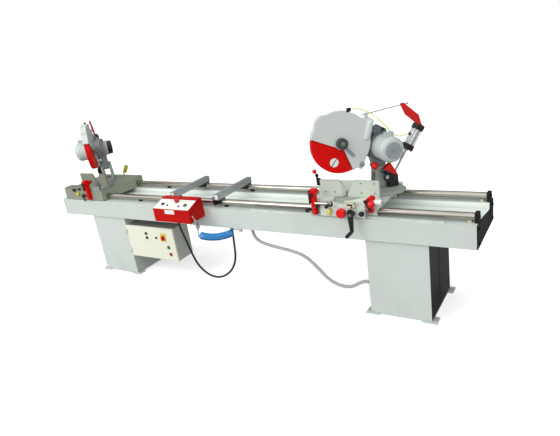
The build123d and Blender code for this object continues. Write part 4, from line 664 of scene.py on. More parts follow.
def roll(radius, length, height, place, steps=8):
    """A half-round bar with round ends, along the place's y axis and raised by a height above it."""
    angles = [math.pi / 2 * step / steps for step in range(steps + 1)]
    start = [(radius * math.sin(a), radius * (1 - math.cos(a)) - length / 2) for a in angles]
    end = [(reach, -along) for reach, along in reversed(start)]
    flat = Matrix.Diagonal((1.0, 1.0, height / radius, 1.0))
    part = turned(start + end, flat @ Matrix.Rotation(-math.pi / 2, 4, "X"), 4 * steps)
    everything = part.verts[:] + part.edges[:] + part.faces[:]
    bmesh.ops.bisect_plane(part, geom=everything, plane_co=(0.0, 0.0, -ROLL_SUNK * MM),
                           plane_no=(0.0, 0.0, -1.0), clear_outer=True)
    bmesh.ops.holes_fill(part, edges=[edge for edge in part.edges if edge.is_boundary])
    part.transform(place)
    return part


def joined(*parts):
    """One mesh that takes over the faces of several."""
    whole = bmesh.new()
    for part in parts:
        copies = {vertex: whole.verts.new(vertex.co) for vertex in part.verts}
        for face in part.faces:
            whole.faces.new([copies[vertex] for vertex in face.verts])
        part.free()
    return whole


def knob(place, radius, height, lobes=7):
    """A hand knob: a stem, a lobed head and a crowned top."""
    stem = height * 0.45
    crown = radius * 0.7
    neck = ((radius * 0.62, 0.0), (radius * 0.45, stem * 0.5), (radius * 0.5, stem))
    top = ((crown, height * 0.86), (crown * 0.9, height * 0.95), (crown * 0.5, height), (0.0, height))
    head = prism(lobed_outline(radius, radius * 0.16, lobes), stem, height * 0.9, place, radius * 0.09)
    return joined(turned(neck, place, 24), head, turned(top, place, 24))


WASHER_EDGE = 1.4
WASHER_HEIGHT = 1.8


def hex_bolt(place, across, height, washer=0.0):
    """A hexagon head with a chamfered top, on a washer of a given radius where there is one."""
    parts = []
    base = 0.0
    if washer:
        disc = ((washer, 0.0), (washer, WASHER_EDGE), (washer * 0.96, WASHER_HEIGHT), (0.0, WASHER_HEIGHT))
        parts.append(turned(disc, place, 24))
        base = WASHER_HEIGHT
    corner = across / math.sqrt(3.0)
    top = base + height
    head = ((corner, base), (corner, base + height * 0.86), (corner * 0.88, top), (0.0, top))
    return joined(*parts, turned(head, place, 6))


def cap_screw(place, radius, height):
    """A round screw head with a socket."""
    socket = radius * 0.5
    shape = ((radius, 0.0), (radius, height * 0.85), (radius * 0.9, height), (socket, height),
             (socket, height * 0.45), (0.0, height * 0.45))
    return turned(shape, place, 18)


# Pieces

SHARP_EDGE = math.radians(35.0)


def add_to_scene(name, data, material, body):
    """A piece with this mesh or curve, which rides on a body."""
    data.materials.append(MATERIALS[material])
    piece = bpy.data.objects.new(name, data)
    bpy.context.scene.collection.objects.link(piece)
    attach(piece, body)
    return piece


def add_piece(name, material, body, *parts):
    """Joins finished parts to a piece that rides on a body."""
    mesh = joined(*parts)
    bmesh.ops.recalc_face_normals(mesh, faces=mesh.faces[:])
    data = bpy.data.meshes.new(name)
    mesh.to_mesh(data)
    mesh.free()
    data.shade_smooth()
    data.set_sharp_from_angle(angle=SHARP_EDGE)
    add_to_scene(name, data, material, body)


def add_line(name, material, body, points, diameter):
    """A hose or cable along a smooth curve; points and diameter in metres."""
    curve = bpy.data.curves.new(name, "CURVE")
    curve.dimensions = "3D"
    curve.bevel_depth = diameter / 2
    curve.bevel_resolution = 5
    curve.use_fill_caps = True
    line = curve.splines.new("NURBS")
    line.points.add(len(points) - 1)
    for target, point in zip(line.points, points):
        target.co = (*point, 1.0)
    line.order_u = 3
    line.use_endpoint_u = True
    line.resolution_u = 6
    return add_to_scene(name, curve, material, body)


# Settings that a user would change

def colour_setting(name, description, red, green, blue):
    shade = (red / 255.0, green / 255.0, blue / 255.0)
    return FloatVectorProperty(
        name=name, description=description, default=shade, subtype="COLOR_GAMMA", min=0.0, max=1.0)


def length_setting(name, description, default):
    return FloatProperty(name=name, description=description, default=default, unit="LENGTH")


class MitreSawColours(PropertyGroup):
    """The colours of the machine's finishes"""
    bed: colour_setting("Bed paint", "Pale paint of bed and pedestals", 206, 215, 209)
    # Painted light: the tray's lighter colour stands in for light inside the bed
    tray: colour_setting("Tray paint", "Painted light inside the bed", 236, 244, 238)
    base: colour_setting("Base paint", "Paint of the right head's base and apron", 212, 221, 210)
    # Painted shade: the left base, table and fence are darker than the right head's paints, for the shade on
    # them
    left_base: colour_setting("Left base paint", "Paint of the left head's base, darkened as painted shade", 146, 154, 136)
    left_table: colour_setting("Left table", "Olive paint of the left table and fence, darkened as painted shade", 134, 138, 121)
    # Painted shade: the turntables' grey is darker than the base paint, for the shade on them
    table: colour_setting("Turntable", "Grey paint of the turntables, darkened as painted shade", 156, 165, 157)
    fence: colour_setting("Fence", "Paint of the right fence", 196, 206, 193)
    guard: colour_setting("Guard paint", "Grey paint of the blade guards", 211, 217, 213)
    arm: colour_setting("Arm paint", "Grey paint of the arm castings", 150, 156, 158)
    drum: colour_setting("Drum paint", "Paint of the drums behind the arms", 192, 200, 196)
    motor: colour_setting("Motor paint", "Paint of the motor body", 190, 202, 200)
    cowl: colour_setting("Motor end", "Paint of the motor's end cover", 176, 186, 188)
    slate: colour_setting("Slate paint", "Dark paint of motor flanges and seats", 104, 114, 121)
    red: colour_setting("Red paint", "Red of lower guards, clamps and brackets", 222, 5, 2)
    box_red: colour_setting("Box paint", "Red of the control box", 194, 10, 4)
    cream: colour_setting("Door paint", "Paint of the cabinet door", 236, 237, 219)
    case: colour_setting("Case paint", "Paint of the cabinet's body", 200, 205, 197)
    # Painted shade: the dark top of the cabinet stands in for the shadow under the bed
    case_top: colour_setting("Case top", "Painted shade on the cabinet's top", 112, 114, 111)
    gun: colour_setting("Air gun", "Body of the air gun", 186, 188, 176)
    dark: colour_setting("Dark paint", "Nearly black paint of end plates and rail blocks", 24, 25, 24)
    # Painted shadow: the dark outer sides of the pedestals stand in for shade
    shadow: colour_setting("Pedestal ends", "Painted shadow on the pedestals' outer sides", 26, 27, 26)
    lever: colour_setting("Guard lever", "Blue-grey lever on the guards", 140, 150, 166)
    hub: colour_setting("Hub caps", "Caps over the spindles", 62, 66, 62)
    boss: colour_setting("Guard boss", "Grey boss at the guard's lower corner", 142, 148, 150)
    beige: colour_setting("Indicator", "Housing of the position indicator", 214, 208, 186)
    black: colour_setting("Black plastic", "Knobs, caps and grips", 18, 18, 19)
    chrome: colour_setting("Chrome", "Guide rails, rods and blades", 192, 187, 177)
    steel: colour_setting("Steel", "Bare machined steel", 150, 152, 152)
    aluminium: colour_setting("Aluminium", "Support arms and cylinder barrels", 190, 196, 198)
    white: colour_setting("Panel white", "Control panel sheet", 236, 238, 232)
    yellow: colour_setting("Yellow", "Switch plate and levers", 226, 214, 60)
    green: colour_setting("Green", "Start button", 40, 132, 66)
    blue_hose: colour_setting("Blue hose", "Curly hose of the air gun", 22, 140, 208)
    yellow_hose: colour_setting("Yellow hose", "Air hoses on the heads", 232, 226, 88)
    grey_hose: colour_setting("Grey hose", "Hose from the bed to the right pedestal", 172, 176, 172)


class MitreSawSizes(PropertyGroup):
    """Sizes of the cords"""
    cable: length_setting("Black cable", "Diameter of the cable to the control box", 0.018)
    hose: length_setting("Grey hose", "Diameter of the hose to the right pedestal", 0.026)
    air_hose: length_setting("Air hose", "Diameter of the air hoses", 0.008)
    curls: IntProperty(name="Curls", description="Turns of the curly hose", default=30, min=8)
    curl: length_setting("Curl size", "Diameter of a curl at the middle of its tube", 0.056)


class MitreSawStage(PropertyGroup):
    """Floor, light and camera"""
    lens: FloatProperty(name="Lens", description="Focal length of the camera", default=32.72, unit="CAMERA")
    floor: colour_setting("Floor", "Colour of the plain floor", 250, 250, 250)
    sky: FloatProperty(name="Room light", description="Strength of the room's bright side", default=1.15)
    dim: FloatProperty(name="Dim side", description="Strength of the room's dim side", default=0.25)
    key: FloatProperty(name="Key light", description="Power of the large soft light in front", default=120.0,
                       unit="POWER")
    glow: FloatProperty(name="Floor glow", description="How much the floor is lifted to white", default=0.45)


def settings():
    scene = bpy.context.scene
    return scene.mitre_saw_colours, scene.mitre_saw_sizes, scene.mitre_saw_stage


# Finishes of the CAD pieces

# Which CAD nodes have a finish
NODE_FINISHES = {
    "bed_paint": ("bed_trough", "gear_rack"),
    "dark_paint": ("bed_end_plates", "rail_holders"),
    "rail_chrome": ("guide_rails",),
    "steel": ("air_gun_lever",),
    "case_paint": ("cabinet_case",),
    "door_paint": ("cabinet_door",),
    "box_paint": ("control_box",),
    "black_plastic": ("crank",),
    "gland_plastic": ("cable_glands",),
    "red_plastic": ("stop_button", "emergency_stop", "main_switch", "carriage_lock"),
    "green_plastic": ("start_button",),
    "gun_paint": ("air_gun",),
    "base_paint": ("right_base",),
    "right_fence_paint": ("right_fence",),
    "left_base_paint": ("left_base",),
    "left_fence_paint": ("left_fence",),
    "rubber_black": ("black_cable",),
    "hose_grey": ("grey_hose",),
    "hose_blue": ("blue_hose",),
}
# The same for nodes that are there on both sides, without the side's name
PAIR_FINISHES = {
    "red_paint": ("clamp", "lower_guard"),
    "hub_plastic": ("panel_button",),
    "support_metal": ("support_arm",),
    "rubber_black": ("drive_belt",),
    "hose_yellow": ("air_hose",),
    "blade_steel": ("saw_blade",),
    "rail_chrome": ("piston_rod",),
    "steel": ("spindle", "motor_shaft", "clamp_rods"),
}
# Nodes whose finish has zones, so that each side has its own
SIDE_FINISHES = {
    "pedestal_paint": "pedestal", "motor_paint": "motor", "arm_paint": "arm", "guard_paint": "blade_guard",
    "table_paint": "turntable", "bracket_paint": "stay_bracket", "cylinder_paint": "air_cylinder",
}


def plain_finishes():
    """Finishes of one colour."""
    # The left fence takes the left table's colour, darkened as painted shade
    for name, title in (("base_paint", "base"), ("left_fence_paint", "left_table"),
                        ("right_fence_paint", "fence")):
        painted(name, title, Wear=0.35, shade=0.75)
    for name, title in (("cowl_paint", "cowl"), ("motor_lid_paint", "motor"), ("boss_paint", "boss")):
        painted(name, title, Wear=0.2, Radius=0.001, shade=0.8)
    # The painted shadow tone, here on the seams of the pedestals' outer sides
    painted("shadow_paint", "shadow", Wear=0.4, Radius=0.001, Gloss=0.45, shade=1.6)
    painted("guard_paint", "guard", Wear=0.25, shade=0.8)
    painted("red_paint", "red", Radius=0.0015, Gloss=0.4, shade=0.6, shine=0.15)
    painted("gun_paint", "gun", Wear=0.2, Radius=0.001, Gloss=0.3, shade=0.8)
    painted("dark_paint", "dark", Wear=0.5, Gloss=0.5, shine=0.2)
    painted("panel_white", "white", Wear=0.0, Radius=0.0005, Gloss=0.3, shade=0.9)
    painted("yellow_paint", "yellow", Wear=0.1, Radius=0.0006, shade=0.8)
    painted("beige_paint", "beige", Wear=0.1, Radius=0.001, shade=0.85)
    machined("rail_chrome", "chrome", Stretch=(3.0, 420.0, 420.0), Gloss=0.1)
    machined("steel", "steel", Stretch=(160.0, 160.0, 160.0), Gloss=0.26)
    machined("blade_steel", "chrome", Stretch=(240.0, 240.0, 240.0), Gloss=0.2)
    machined("bolt_steel", "steel", Stretch=(60.0, 60.0, 60.0), Gloss=0.3, Radius=0.0005)
    moulded("black_plastic", "black", Gloss=0.32, shade=2.2)
    moulded("rubber_black", "black", Gloss=0.5, shade=1.8)
    moulded("red_plastic", "red", Gloss=0.25, shade=0.7)
    moulded("green_plastic", "green", Gloss=0.28, shade=0.7)
    moulded("hose_blue", "blue_hose", Gloss=0.22, shade=0.75, coat=0.3)
    moulded("hose_yellow", "yellow_hose", Gloss=0.3, shade=0.7)
    moulded("hose_grey", "grey_hose", Gloss=0.5, shade=0.65)
    moulded("hub_plastic", "hub", Gloss=0.4, shade=1.5)
    moulded("white_plastic", "white", Gloss=0.35, shade=0.85)
    moulded("yellow_plastic", "yellow", Gloss=0.3, shade=0.75)


def zoned_finishes():
    """Finishes of the bed and what stands on it, with zones of other colours."""
    # The bed's tray zone is painted light, and its corners take less painted shade than the other paints
    painted("bed_paint", "bed", Wear=0.25, Radius=0.004, Grime=0.4, coat=0.15, shade=0.8, zones=[
        ("tray", slab(UP, *LIT_TRAY_HEIGHTS), slab(FRONT, *LIT_TRAY_WIDTH))])
    # The left base and its top plates are darkened as painted shade
    painted("left_base_paint", "left_base", Wear=0.35, shade=0.75, zones=[
        ("left_table", slab(UP, *LEFT_PLATES))])
    # The cabinet's top takes painted shade, for the shadow under the bed
    painted("case_paint", "case", shade=0.8, zones=[("case_top", slab(UP, *CASE_SHADE_HEIGHTS))])
    painted("door_paint", "cream", Wear=0.2, Radius=0.003, shade=0.85, zones=[
        ("black", slab(FRONT, *DOOR_FITTINGS), slab(RIGHT, *DOOR_SPAN))])
    moulded("gland_plastic", "black", Gloss=0.32, shade=2.2, zones=[("bed", slab(RIGHT, *ELBOW_SPAN))])
    machined("support_metal", "aluminium", Stretch=(260.0, 3.0, 260.0), Gloss=0.3, shade=0.8, zones=[
        ("dark", slab(UP, *SHOE_HEIGHTS))])
    panel_way = panel_tilt()[1]
    foot = panel_way.dot(Vector((0.0, BOX_FRONT, BOX_FRONT_TOP)) * MM)
    sheet = [foot + rise for rise in PANEL_SHEET]
    collars = [foot + rise for rise in PANEL_COLLARS]
    on_slope = slab(FRONT, *PANEL_REACH)
    painted("box_paint", "box_red", Wear=0.15, Gloss=0.4, shade=0.7, shine=0.15, zones=[
        ("white", slab(panel_way, *sheet), on_slope), ("boss", slab(panel_way, *collars), on_slope)])
    for side in SIDES:
        # Painted shadow on each pedestal's outer side
        outside = slab(RIGHT * OUTWARD[side], *PEDESTAL_OUTSIDE)
        painted(f"{side}_pedestal_paint", "bed", Wear=0.25, Radius=0.003, shade=0.8, shine=0.25, zones=[
            ("shadow", outside, slab(UP, *PEDESTAL_HEIGHTS))])


def head_finishes(side):
    """Finishes of one head, with zones in the head's own frame."""
    painted(f"{side}_motor_paint", "motor", Gloss=0.26, coat=0.2, shade=0.8, Radius=0.004, zones=[
        ("slate", head_slab(side, V, *FLANGE_V)), ("cowl", head_slab(side, V, *COWL_V))])
    painted(f"{side}_arm_paint", "arm", shade=0.8, zones=[
        ("slate", head_slab(side, V, *SEAT_V), head_slab(side, U, *SEAT_U)),
        ("drum", head_slab(side, V, *DRUM_V)), ("black", head_slab(side, V, *DRUM_CAP_V))])
    proud = head_slab(side, V, *LEVER_V)
    hub = round_zone(head_point(side, 0, *SPINDLE), head_axes(side)[0], HUB_RADIUS)
    painted(f"{side}_guard_paint", "guard", shade=0.82, Radius=0.003, zones=[
        ("lever", proud), ("black", head_slab(side, Z, *NOZZLE_Z), head_slab(side, U, *NOZZLE_U)),
        ("hub", hub, proud)])
    in_front = (head_slab(side, V, *BRACKET_V), head_slab(side, U, *BRACKET_U))
    behind = (head_slab(side, U, *BRACKET_BACK_U),)
    upper = tilted_slab(side, BRACKET_SLOPE, *BRACKET_RED)
    lower = head_slab(side, Z, *BRACKET_BLACK_Z)
    # The turntable's grey is darkened as painted shade; its red and black zones are the bracket's own paint
    painted(f"{side}_table_paint", "table", shade=0.75, zones=[
        ("black", *in_front, lower), ("black", *behind, lower),
        ("red", *in_front, upper), ("red", *behind, upper)])
    stay = head_point(side, 0, *STAY_BACK)
    stay_way = (head_point(side, 0, *STAY_FRONT) - stay).normalized()
    painted(f"{side}_bracket_paint", "red", Gloss=0.4, zones=[
        ("steel", round_zone(stay, stay_way, STAY_RADIUS))])
    axis = cylinder_axis(side)
    low = axis.dot(head_point(side, 0, *CYLINDER_FOOT)) + CYLINDER_CAP_HALF * MM
    high = low + (CYLINDER_LENGTH - 2 * CYLINDER_CAP_HALF) * MM
    painted(f"{side}_cylinder_paint", "black", Gloss=0.35, shade=2.0, zones=[
        ("aluminium", slab(axis, low, high))])


class MITRESAW_OT_finishes(Operator):
    """Paints, bare metal and plastics on every CAD piece"""
    bl_idname = "mitresaw.finishes"
    bl_label = "Finishes"

    def execute(self, context):
        colours = settings()[0]
        TONES.update({title: linear(getattr(colours, title)) for title in MitreSawColours.__annotations__})
        make_groups()
        plain_finishes()
        zoned_finishes()
        for side in SIDES:
            head_finishes(side)
        chosen = self.chosen()
        missing = sorted(set(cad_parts) - set(chosen))
        if missing:
            raise RuntimeError(f"no finish for {missing}")
        for node, material in chosen.items():
            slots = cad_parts[node].data.materials
            slots.clear()
            slots.append(MATERIALS[material])
        return {"FINISHED"}

    def chosen(self):
        """Each CAD node, with the name of its finish."""
        finishes = {node: material for material, nodes in NODE_FINISHES.items() for node in nodes}
        for side in SIDES:
            for material, nodes in PAIR_FINISHES.items():
                finishes.update({f"{side}_{node}": material for node in nodes})
            for material, node in SIDE_FINISHES.items():
                finishes[f"{side}_{node}"] = f"{side}_{material}"
        return finishes


# Cords and hoses: routes in metres, and for the heads' hoses in the head's own millimetres

CABLE_ROUTE = (
    (-0.412, -0.400, 0.715), (-0.412, -0.400, 0.656), (-0.370, -0.399, 0.530), (-0.338, -0.391, 0.380),
    (-0.298, -0.380, 0.262), (-0.222, -0.364, 0.180), (-0.130, -0.345, 0.150), (-0.038, -0.326, 0.180),
    (0.036, -0.308, 0.254), (0.068, -0.291, 0.350), (0.064, -0.275, 0.470), (0.060, -0.262, 0.560),
    (0.060, -0.262, 0.618))
HOSE_ROUTE = (
    (0.225, -0.2, 0.618), (0.225, -0.2, 0.556), (0.252, -0.2, 0.500), (0.318, -0.2, 0.466),
    (0.430, -0.2, 0.446), (0.600, -0.2, 0.424), (0.720, -0.2, 0.388), (0.815, -0.2, 0.300),
    (0.905, -0.2, 0.200), (1.010, -0.2, 0.158), (1.110, -0.2, 0.165), (1.200, -0.2, 0.236),
    (1.2775, -0.2, 0.236))
HEAD_HOSE_ROUTE = (
    (0, 74, 1542), (0, 122, 1542), (16, 185, 1512), (20, 250, 1462), (26, 305, 1402), (27, 345, 1345),
    (26, 392, 1296), (12, 440, 1282), (0, 470, 1287), (0, 505, 1287))
CURLS_LINE = ((-0.186, -0.392, 0.576), (-0.040, -0.360, 0.562), (0.098, -0.316, 0.596))
GUN_HEAD = Vector((-0.174, -0.440, 0.735))
GUN_TAIL = Vector((-0.196, -0.404, 0.640))
ELBOW_FACE = Vector((0.134, -0.262, 0.600))
POINTS_PER_CURL = 14
LEAD_SHARE = 0.4


def arc_frame(first, middle, last):
    """Centre, radius, start direction, side direction, angle and axis of the arc through three points."""
    first, middle, last = Vector(first), Vector(middle), Vector(last)
    a = middle - first
    b = last - first
    normal = a.cross(b)
    weighed = a.length_squared * b.cross(normal) + b.length_squared * normal.cross(a)
    offset = weighed / (2 * normal.length_squared)
    centre = first + offset
    start = (first - centre).normalized()
    side = normal.normalized().cross(start)
    angle = start.angle((last - centre).normalized())
    return centre, offset.length, start, side, angle, normal.normalized()


def curly_points(sizes):
    """The curly hose: a run from the gun, the curls round an arc, and a run to the elbow."""
    centre, radius, start, side, angle, normal = arc_frame(*CURLS_LINE)
    count = sizes.curls * POINTS_PER_CURL
    reach = sizes.curl / 2 / math.cos(math.pi / POINTS_PER_CURL)
    curls = []
    for step in range(count + 1):
        along = angle * step / count
        turn = math.pi / 2 + 2 * math.pi * sizes.curls * step / count
        outward = start * math.cos(along) + side * math.sin(along)
        curls.append(centre + outward * (radius + reach * math.cos(turn)) + normal * (reach * math.sin(turn)))
    gun_way = (GUN_TAIL - GUN_HEAD).normalized()
    first_way = (curls[1] - curls[0]).normalized()
    last_way = (curls[-1] - curls[-2]).normalized()
    lead = (curls[0] - GUN_TAIL).length * LEAD_SHARE
    tail = (ELBOW_FACE - curls[-1]).length * LEAD_SHARE
    before = [GUN_TAIL, GUN_TAIL + gun_way * lead, curls[0] - first_way * lead]
    after = [curls[-1] + last_way * tail, ELBOW_FACE - RIGHT * tail, ELBOW_FACE]
    return before + curls + after


class MITRESAW_OT_cords(Operator):
    """The cable and the hoses"""
    bl_idname = "mitresaw.cords"
    bl_label = "Cords and hoses"

    def execute(self, context):
        sizes = settings()[1]
        cable = add_line("cable_to_panel", "rubber_black", "bed", CABLE_ROUTE, sizes.cable)
        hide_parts("black_cable")
        hose = add_line("hose_to_pedestal", "hose_grey", "bed", HOSE_ROUTE, sizes.hose)
        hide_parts("grey_hose")
        curly = add_line("curly_air_hose", "hose_blue", "bed", curly_points(sizes), sizes.air_hose)
        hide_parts("blue_hose")
        for side in SIDES:
            route = [head_point(side, *point) for point in HEAD_HOSE_ROUTE]
            air = add_line(f"{side}_head_hose", "hose_yellow", f"{side}_head", route, sizes.air_hose)
            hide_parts(f"{side}_air_hose")
            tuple(route[0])
        return {"FINISHED"}


# Bed

END_BOLT_Y = (-236.0, 236.0)
END_BOLT_Z = (648.0, 752.0)
RAIL_INSET = 2.0
CLIP_INSET = 62.0
CLIP_Z = 788.0
RACK_SCREWS = 12
RACK_SCREW_RISE = 8.0
SEAM_Y = -25.0
SEAM_Z = 322.0


class MITRESAW_OT_bed(Operator):
    """Bolts of the bed's ends, clips under the rails, screws of the rack and seams of the pedestals"""
    bl_idname = "mitresaw.bed"
    bl_label = "Bed fittings"

    def execute(self, context):
        bolts = []
        clips = []
        seams = []
        for side in SIDES:
            end = BED_ENDS[side]
            way = OUTWARD[side]
            bolts += [hex_bolt(at(end, y, z, RIGHT * way), 17.0, 7.0, 12.0)
                      for y in END_BOLT_Y for z in END_BOLT_Z]
            for y in RAIL_Y:
                rail_end = at(end - way * RAIL_INSET, y, RAIL_Z, RIGHT * way)
                bolts.append(cap_screw(rail_end, 11.0, 6.0))
                foot = at(end - way * CLIP_INSET, y, CLIP_Z, UP)
                clips.append(round_plate(34.0, 40.0, 5.0, 0.0, 12.0, foot, 2.0))
            # The seams lie on the pedestals' outer sides, in the painted shadow tone
            outside = at(way * PEDESTAL_SIDE, SEAM_Y, SEAM_Z, RIGHT * way)
            seams.append(round_plate(9.0, 600.0, 2.0, -1.0, 2.5, outside, 1.0))
        add_piece("bed_end_bolts", "dark_paint", "bed", *bolts)
        add_piece("rail_end_clips", "beige_paint", "bed", *clips)
        add_piece("rack_screws", "bed_paint", "bed", *self.rack_screws())
        add_piece("pedestal_seams", "shadow_paint", "bed", *seams)
        return {"FINISHED"}

    def rack_screws(self):
        """Screws at even steps along the rack's front."""
        low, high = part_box("gear_rack")
        for step in range(RACK_SCREWS):
            x = (low[0] + (high[0] - low[0]) * (step + 0.5) / RACK_SCREWS) / MM
            yield cap_screw(on_front(low[1] / MM, x, low[2] / MM + RACK_SCREW_RISE), 4.5, 3.0)


# Support arms

SUPPORT_X = {"left": -570.0, "right": -70.0}
SUPPORT_LENGTH = 510.0
# Ribs on top: place across the arm, and height
TOP_RIBS = ((1.0, 908.0), (17.0, 908.0), (33.0, 908.0), (-27.0, 862.0), (-15.0, 862.0))
SIDE_RIB_X = 39.0
SIDE_RIB_Z = (874.0, 890.0)
SUPPORT_FRONT = -256.0
# The cap: place across the arm, and height
SUPPORT_CAP = (17.0, 882.0)


class MITRESAW_OT_supports(Operator):
    """Ribs and end caps of the support arms"""
    bl_idname = "mitresaw.supports"
    bl_label = "Support arm fittings"

    def execute(self, context):
        for side in SIDES:
            middle = SUPPORT_X[side]
            ribs = []
            for across, z in TOP_RIBS:
                top = at(middle + across, 0.0, z, UP)
                ribs.append(round_plate(6.0, SUPPORT_LENGTH, 2.5, -0.5, 2.0, top, 0.6))
            for z in SIDE_RIB_Z:
                flank = at(middle + SIDE_RIB_X, 0.0, z, RIGHT)
                ribs.append(round_plate(SUPPORT_LENGTH, 5.0, 2.0, -0.5, 1.6, flank, 0.5))
            add_piece(f"{side}_support_ribs", "cowl_paint", f"{side}_support_arm", *ribs)
            across, z = SUPPORT_CAP
            end = on_front(SUPPORT_FRONT, middle + across, z)
            cap = round_plate(31.0, 40.0, 3.0, -2.0, 1.5, end, 0.5)
            add_piece(f"{side}_support_cap", "panel_white", f"{side}_support_arm", cap)
        return {"FINISHED"}


# Cabinet: places on the door, along the bed and up

SWITCH = (-774.0, 452.0)
BUTTONS = ((-732.0, 356.0), (-722.0, 286.0))
LAMPS = ((-994.0, 482.0), (-992.0, 438.0))
LOCK = (-866.0, 446.0)
PLATE_LIFT = 3.0


class MITRESAW_OT_cabinet(Operator):
    """Switch plate, lamps, lock and bezels on the cabinet's door"""
    bl_idname = "mitresaw.cabinet"
    bl_label = "Cabinet fittings"

    def execute(self, context):
        plate = holed_plate(66.0, -33.0, 45.0, 24.5, 1.4, on_front(DOOR_FACE - PLATE_LIFT, *SWITCH))
        add_piece("switch_plate", "yellow_paint", "cabinet_door", plate)
        bezels = [ring(15.2, 18.5, 0.0, 4.0, on_front(DOOR_FACE, *place)) for place in BUTTONS]
        bezels += [ring(12.2, 15.5, 0.0, 4.0, on_front(DOOR_FACE, *place)) for place in LAMPS]
        add_piece("door_bezels", "bolt_steel", "cabinet_door", *bezels)
        dome = ((12.0, 8.5), (11.4, 11.5), (8.0, 14.0), (0.0, 15.0))
        lenses = [turned(dome, on_front(DOOR_FACE, *place), 28) for place in LAMPS]
        lock = on_front(DOOR_FACE, *LOCK)
        halves = [prism(half_disc(10.5, 2.6, math.pi / 2, way), 6.5, 9.0, lock, 0.4)
                  for way in (-1, 1)]
        add_piece("lamp_lenses_and_lock", "black_plastic", "cabinet_door", *lenses, *halves)
        return {"FINISHED"}


# Control box: places on its panel, from the box's left side and up the slope

PANEL_BUTTONS = ((76.0, 62.0), (334.0, 62.0), (214.0, 104.0))
SMALL_BUTTONS = ((136.0, 50.0), (270.0, 46.0))
BOX_LEFT = -605.0
BOX_RIGHT = -195.0
BOX_PLATE = (-415.0, 809.0)
PLATE_SCREWS = (-49.0, 49.0)
BOX_SCREW_Z = 728.0
BOX_SCREW_INSET = 14.0
BOX_SCREW_Y = (-440.0, -310.0)


def on_panel(across, up_slope, lift=3.0):
    """A place on the sloping panel: millimetres from the box's left side, up the slope, and above the box."""
    tilt, way = panel_tilt()
    y = BOX_FRONT + up_slope * math.cos(tilt)
    z = BOX_FRONT_TOP + up_slope * math.sin(tilt)
    return facing(Vector((BOX_LEFT + across, y, z)) * MM + way * (lift * MM), way)


class MITRESAW_OT_control_box(Operator):
    """Bezels, small buttons, bare plate and screws of the control box"""
    bl_idname = "mitresaw.control_box"
    bl_label = "Control box fittings"

    def execute(self, context):
        bezels = [ring(15.2, 19.0, 0.0, 3.0, on_panel(*place)) for place in PANEL_BUTTONS]
        bezels += [ring(7.5, 10.5, 0.0, 2.5, on_panel(*place)) for place in SMALL_BUTTONS]
        add_piece("panel_bezels", "bolt_steel", "bed", *bezels)
        button = ((7.4, 0.0), (7.4, 5.0), (6.2, 6.4), (0.0, 6.8))
        buttons = [turned(button, on_panel(*place), 24) for place in SMALL_BUTTONS]
        add_piece("panel_small_buttons", "black_plastic", "bed", *buttons)
        middle = on_front(BOX_FRONT, *BOX_PLATE)
        add_piece("box_plate", "panel_white", "bed", round_plate(110.0, 36.0, 3.0, 0.0, 1.2, middle, 0.3))
        add_piece("box_screws", "bolt_steel", "bed", *self.screws(middle))
        return {"FINISHED"}

    def screws(self, plate):
        """Screws of the bare plate, and of the box's front and both sides."""
        head = ((2.6, 1.2), (2.2, 2.2), (0.0, 2.6))
        places = [on_front(BOX_FRONT, x, BOX_SCREW_Z)
                  for x in (BOX_LEFT + BOX_SCREW_INSET, BOX_RIGHT - BOX_SCREW_INSET)]
        for y in BOX_SCREW_Y:
            places += [at(BOX_RIGHT, y, BOX_SCREW_Z, RIGHT), at(BOX_LEFT, y, BOX_SCREW_Z, -RIGHT)]
        small = [turned(head, moved(plate, x), 12) for x in PLATE_SCREWS]
        return small + [cap_screw(place, 4.5, 2.5) for place in places]


# Bases, clamps and carriage

CRANK = (1219.0, 834.0)
CRANK_ARM = 127.0
CRANK_GRIP_Y = APRON_FACE - 55.0
CRANK_NUT_Y = APRON_FACE - 54.0
APRON_KNOB = (1293.0, 838.0)
APRON_LEVER = (1037.0, 838.0)
INDICATOR = (1211.0, 899.0)
STOP_START = (935.0, APRON_FACE - 25.0, 905.0)
STOP_BALL = (1062.0, APRON_FACE - 30.0, 902.0)
STOP_BLOCK_X = (950.0, 1022.0)
STOP_BLOCK = ((-8.0, APRON_FACE - 34.0, 868.0), (8.0, APRON_FACE, 894.0))
FENCE_FACE = -188.0
FENCE_SCREWS = ((1251.0, 1022.0), (1351.0, 1022.0), (1251.0, 950.0), (1351.0, 950.0), (960.0, 950.0),
                (1040.0, 950.0))
FENCE_END_BLOCK = ((893.0, -190.0, 996.0), (921.0, -166.0, 1050.0))
FENCE_END_POST = (897.0, -178.0, 1050.0)
FENCE_END_BALL = (880.0, -178.0, 1102.0)
FENCE_END_STEM = (882.0, -178.0, 1104.0)
FENCE_END_LEAN = Vector((-0.6, 0.0, 1.0))
# Clamps: place along the bed, height of the rod, heights of the screws in the leg
CLAMPS = {"right": ((915.0, 975.0, (830.0, 864.0)), (1357.0, 939.0, (862.0,))),
          "left": ((-1662.0, 975.0, (830.0, 864.0)),)}
CLAMP_FRONT = -332.0
CLAMP_LEG_FACE = -318.0
# Beside the inner clamp, from its place along the bed: a knob, and two bars with their bevel
CLAMP_GRIP = (-48.0, 847.0)
CLAMP_BARS = (((-60.0, -312.0, 838.0), (-10.0, -300.0, 856.0), 2.0),
              ((-30.0, -330.0, 900.0), (-16.0, -290.0, 1000.0), 3.0))
CLAMP_BALL = (1378.0, -338.0, 922.0)
CLAMP_LEVER = (1357.0, -352.0, 914.0)
CLAMP_VALVE = (1374.0, -318.0, 932.0)
LEFT_KNOBS = ((-1888.0, 896.0), (-1804.0, 908.0))
LEFT_YELLOW_KNOB = (-1848.0, 856.0)
LEFT_PIN = (-1762.0, LEFT_BASE_FACE - 14.0, 858.0)
PADDLE = (-1752.0, 270.0, 890.0)
BASE_BODY = {"right": "carriage", "left": "bed"}


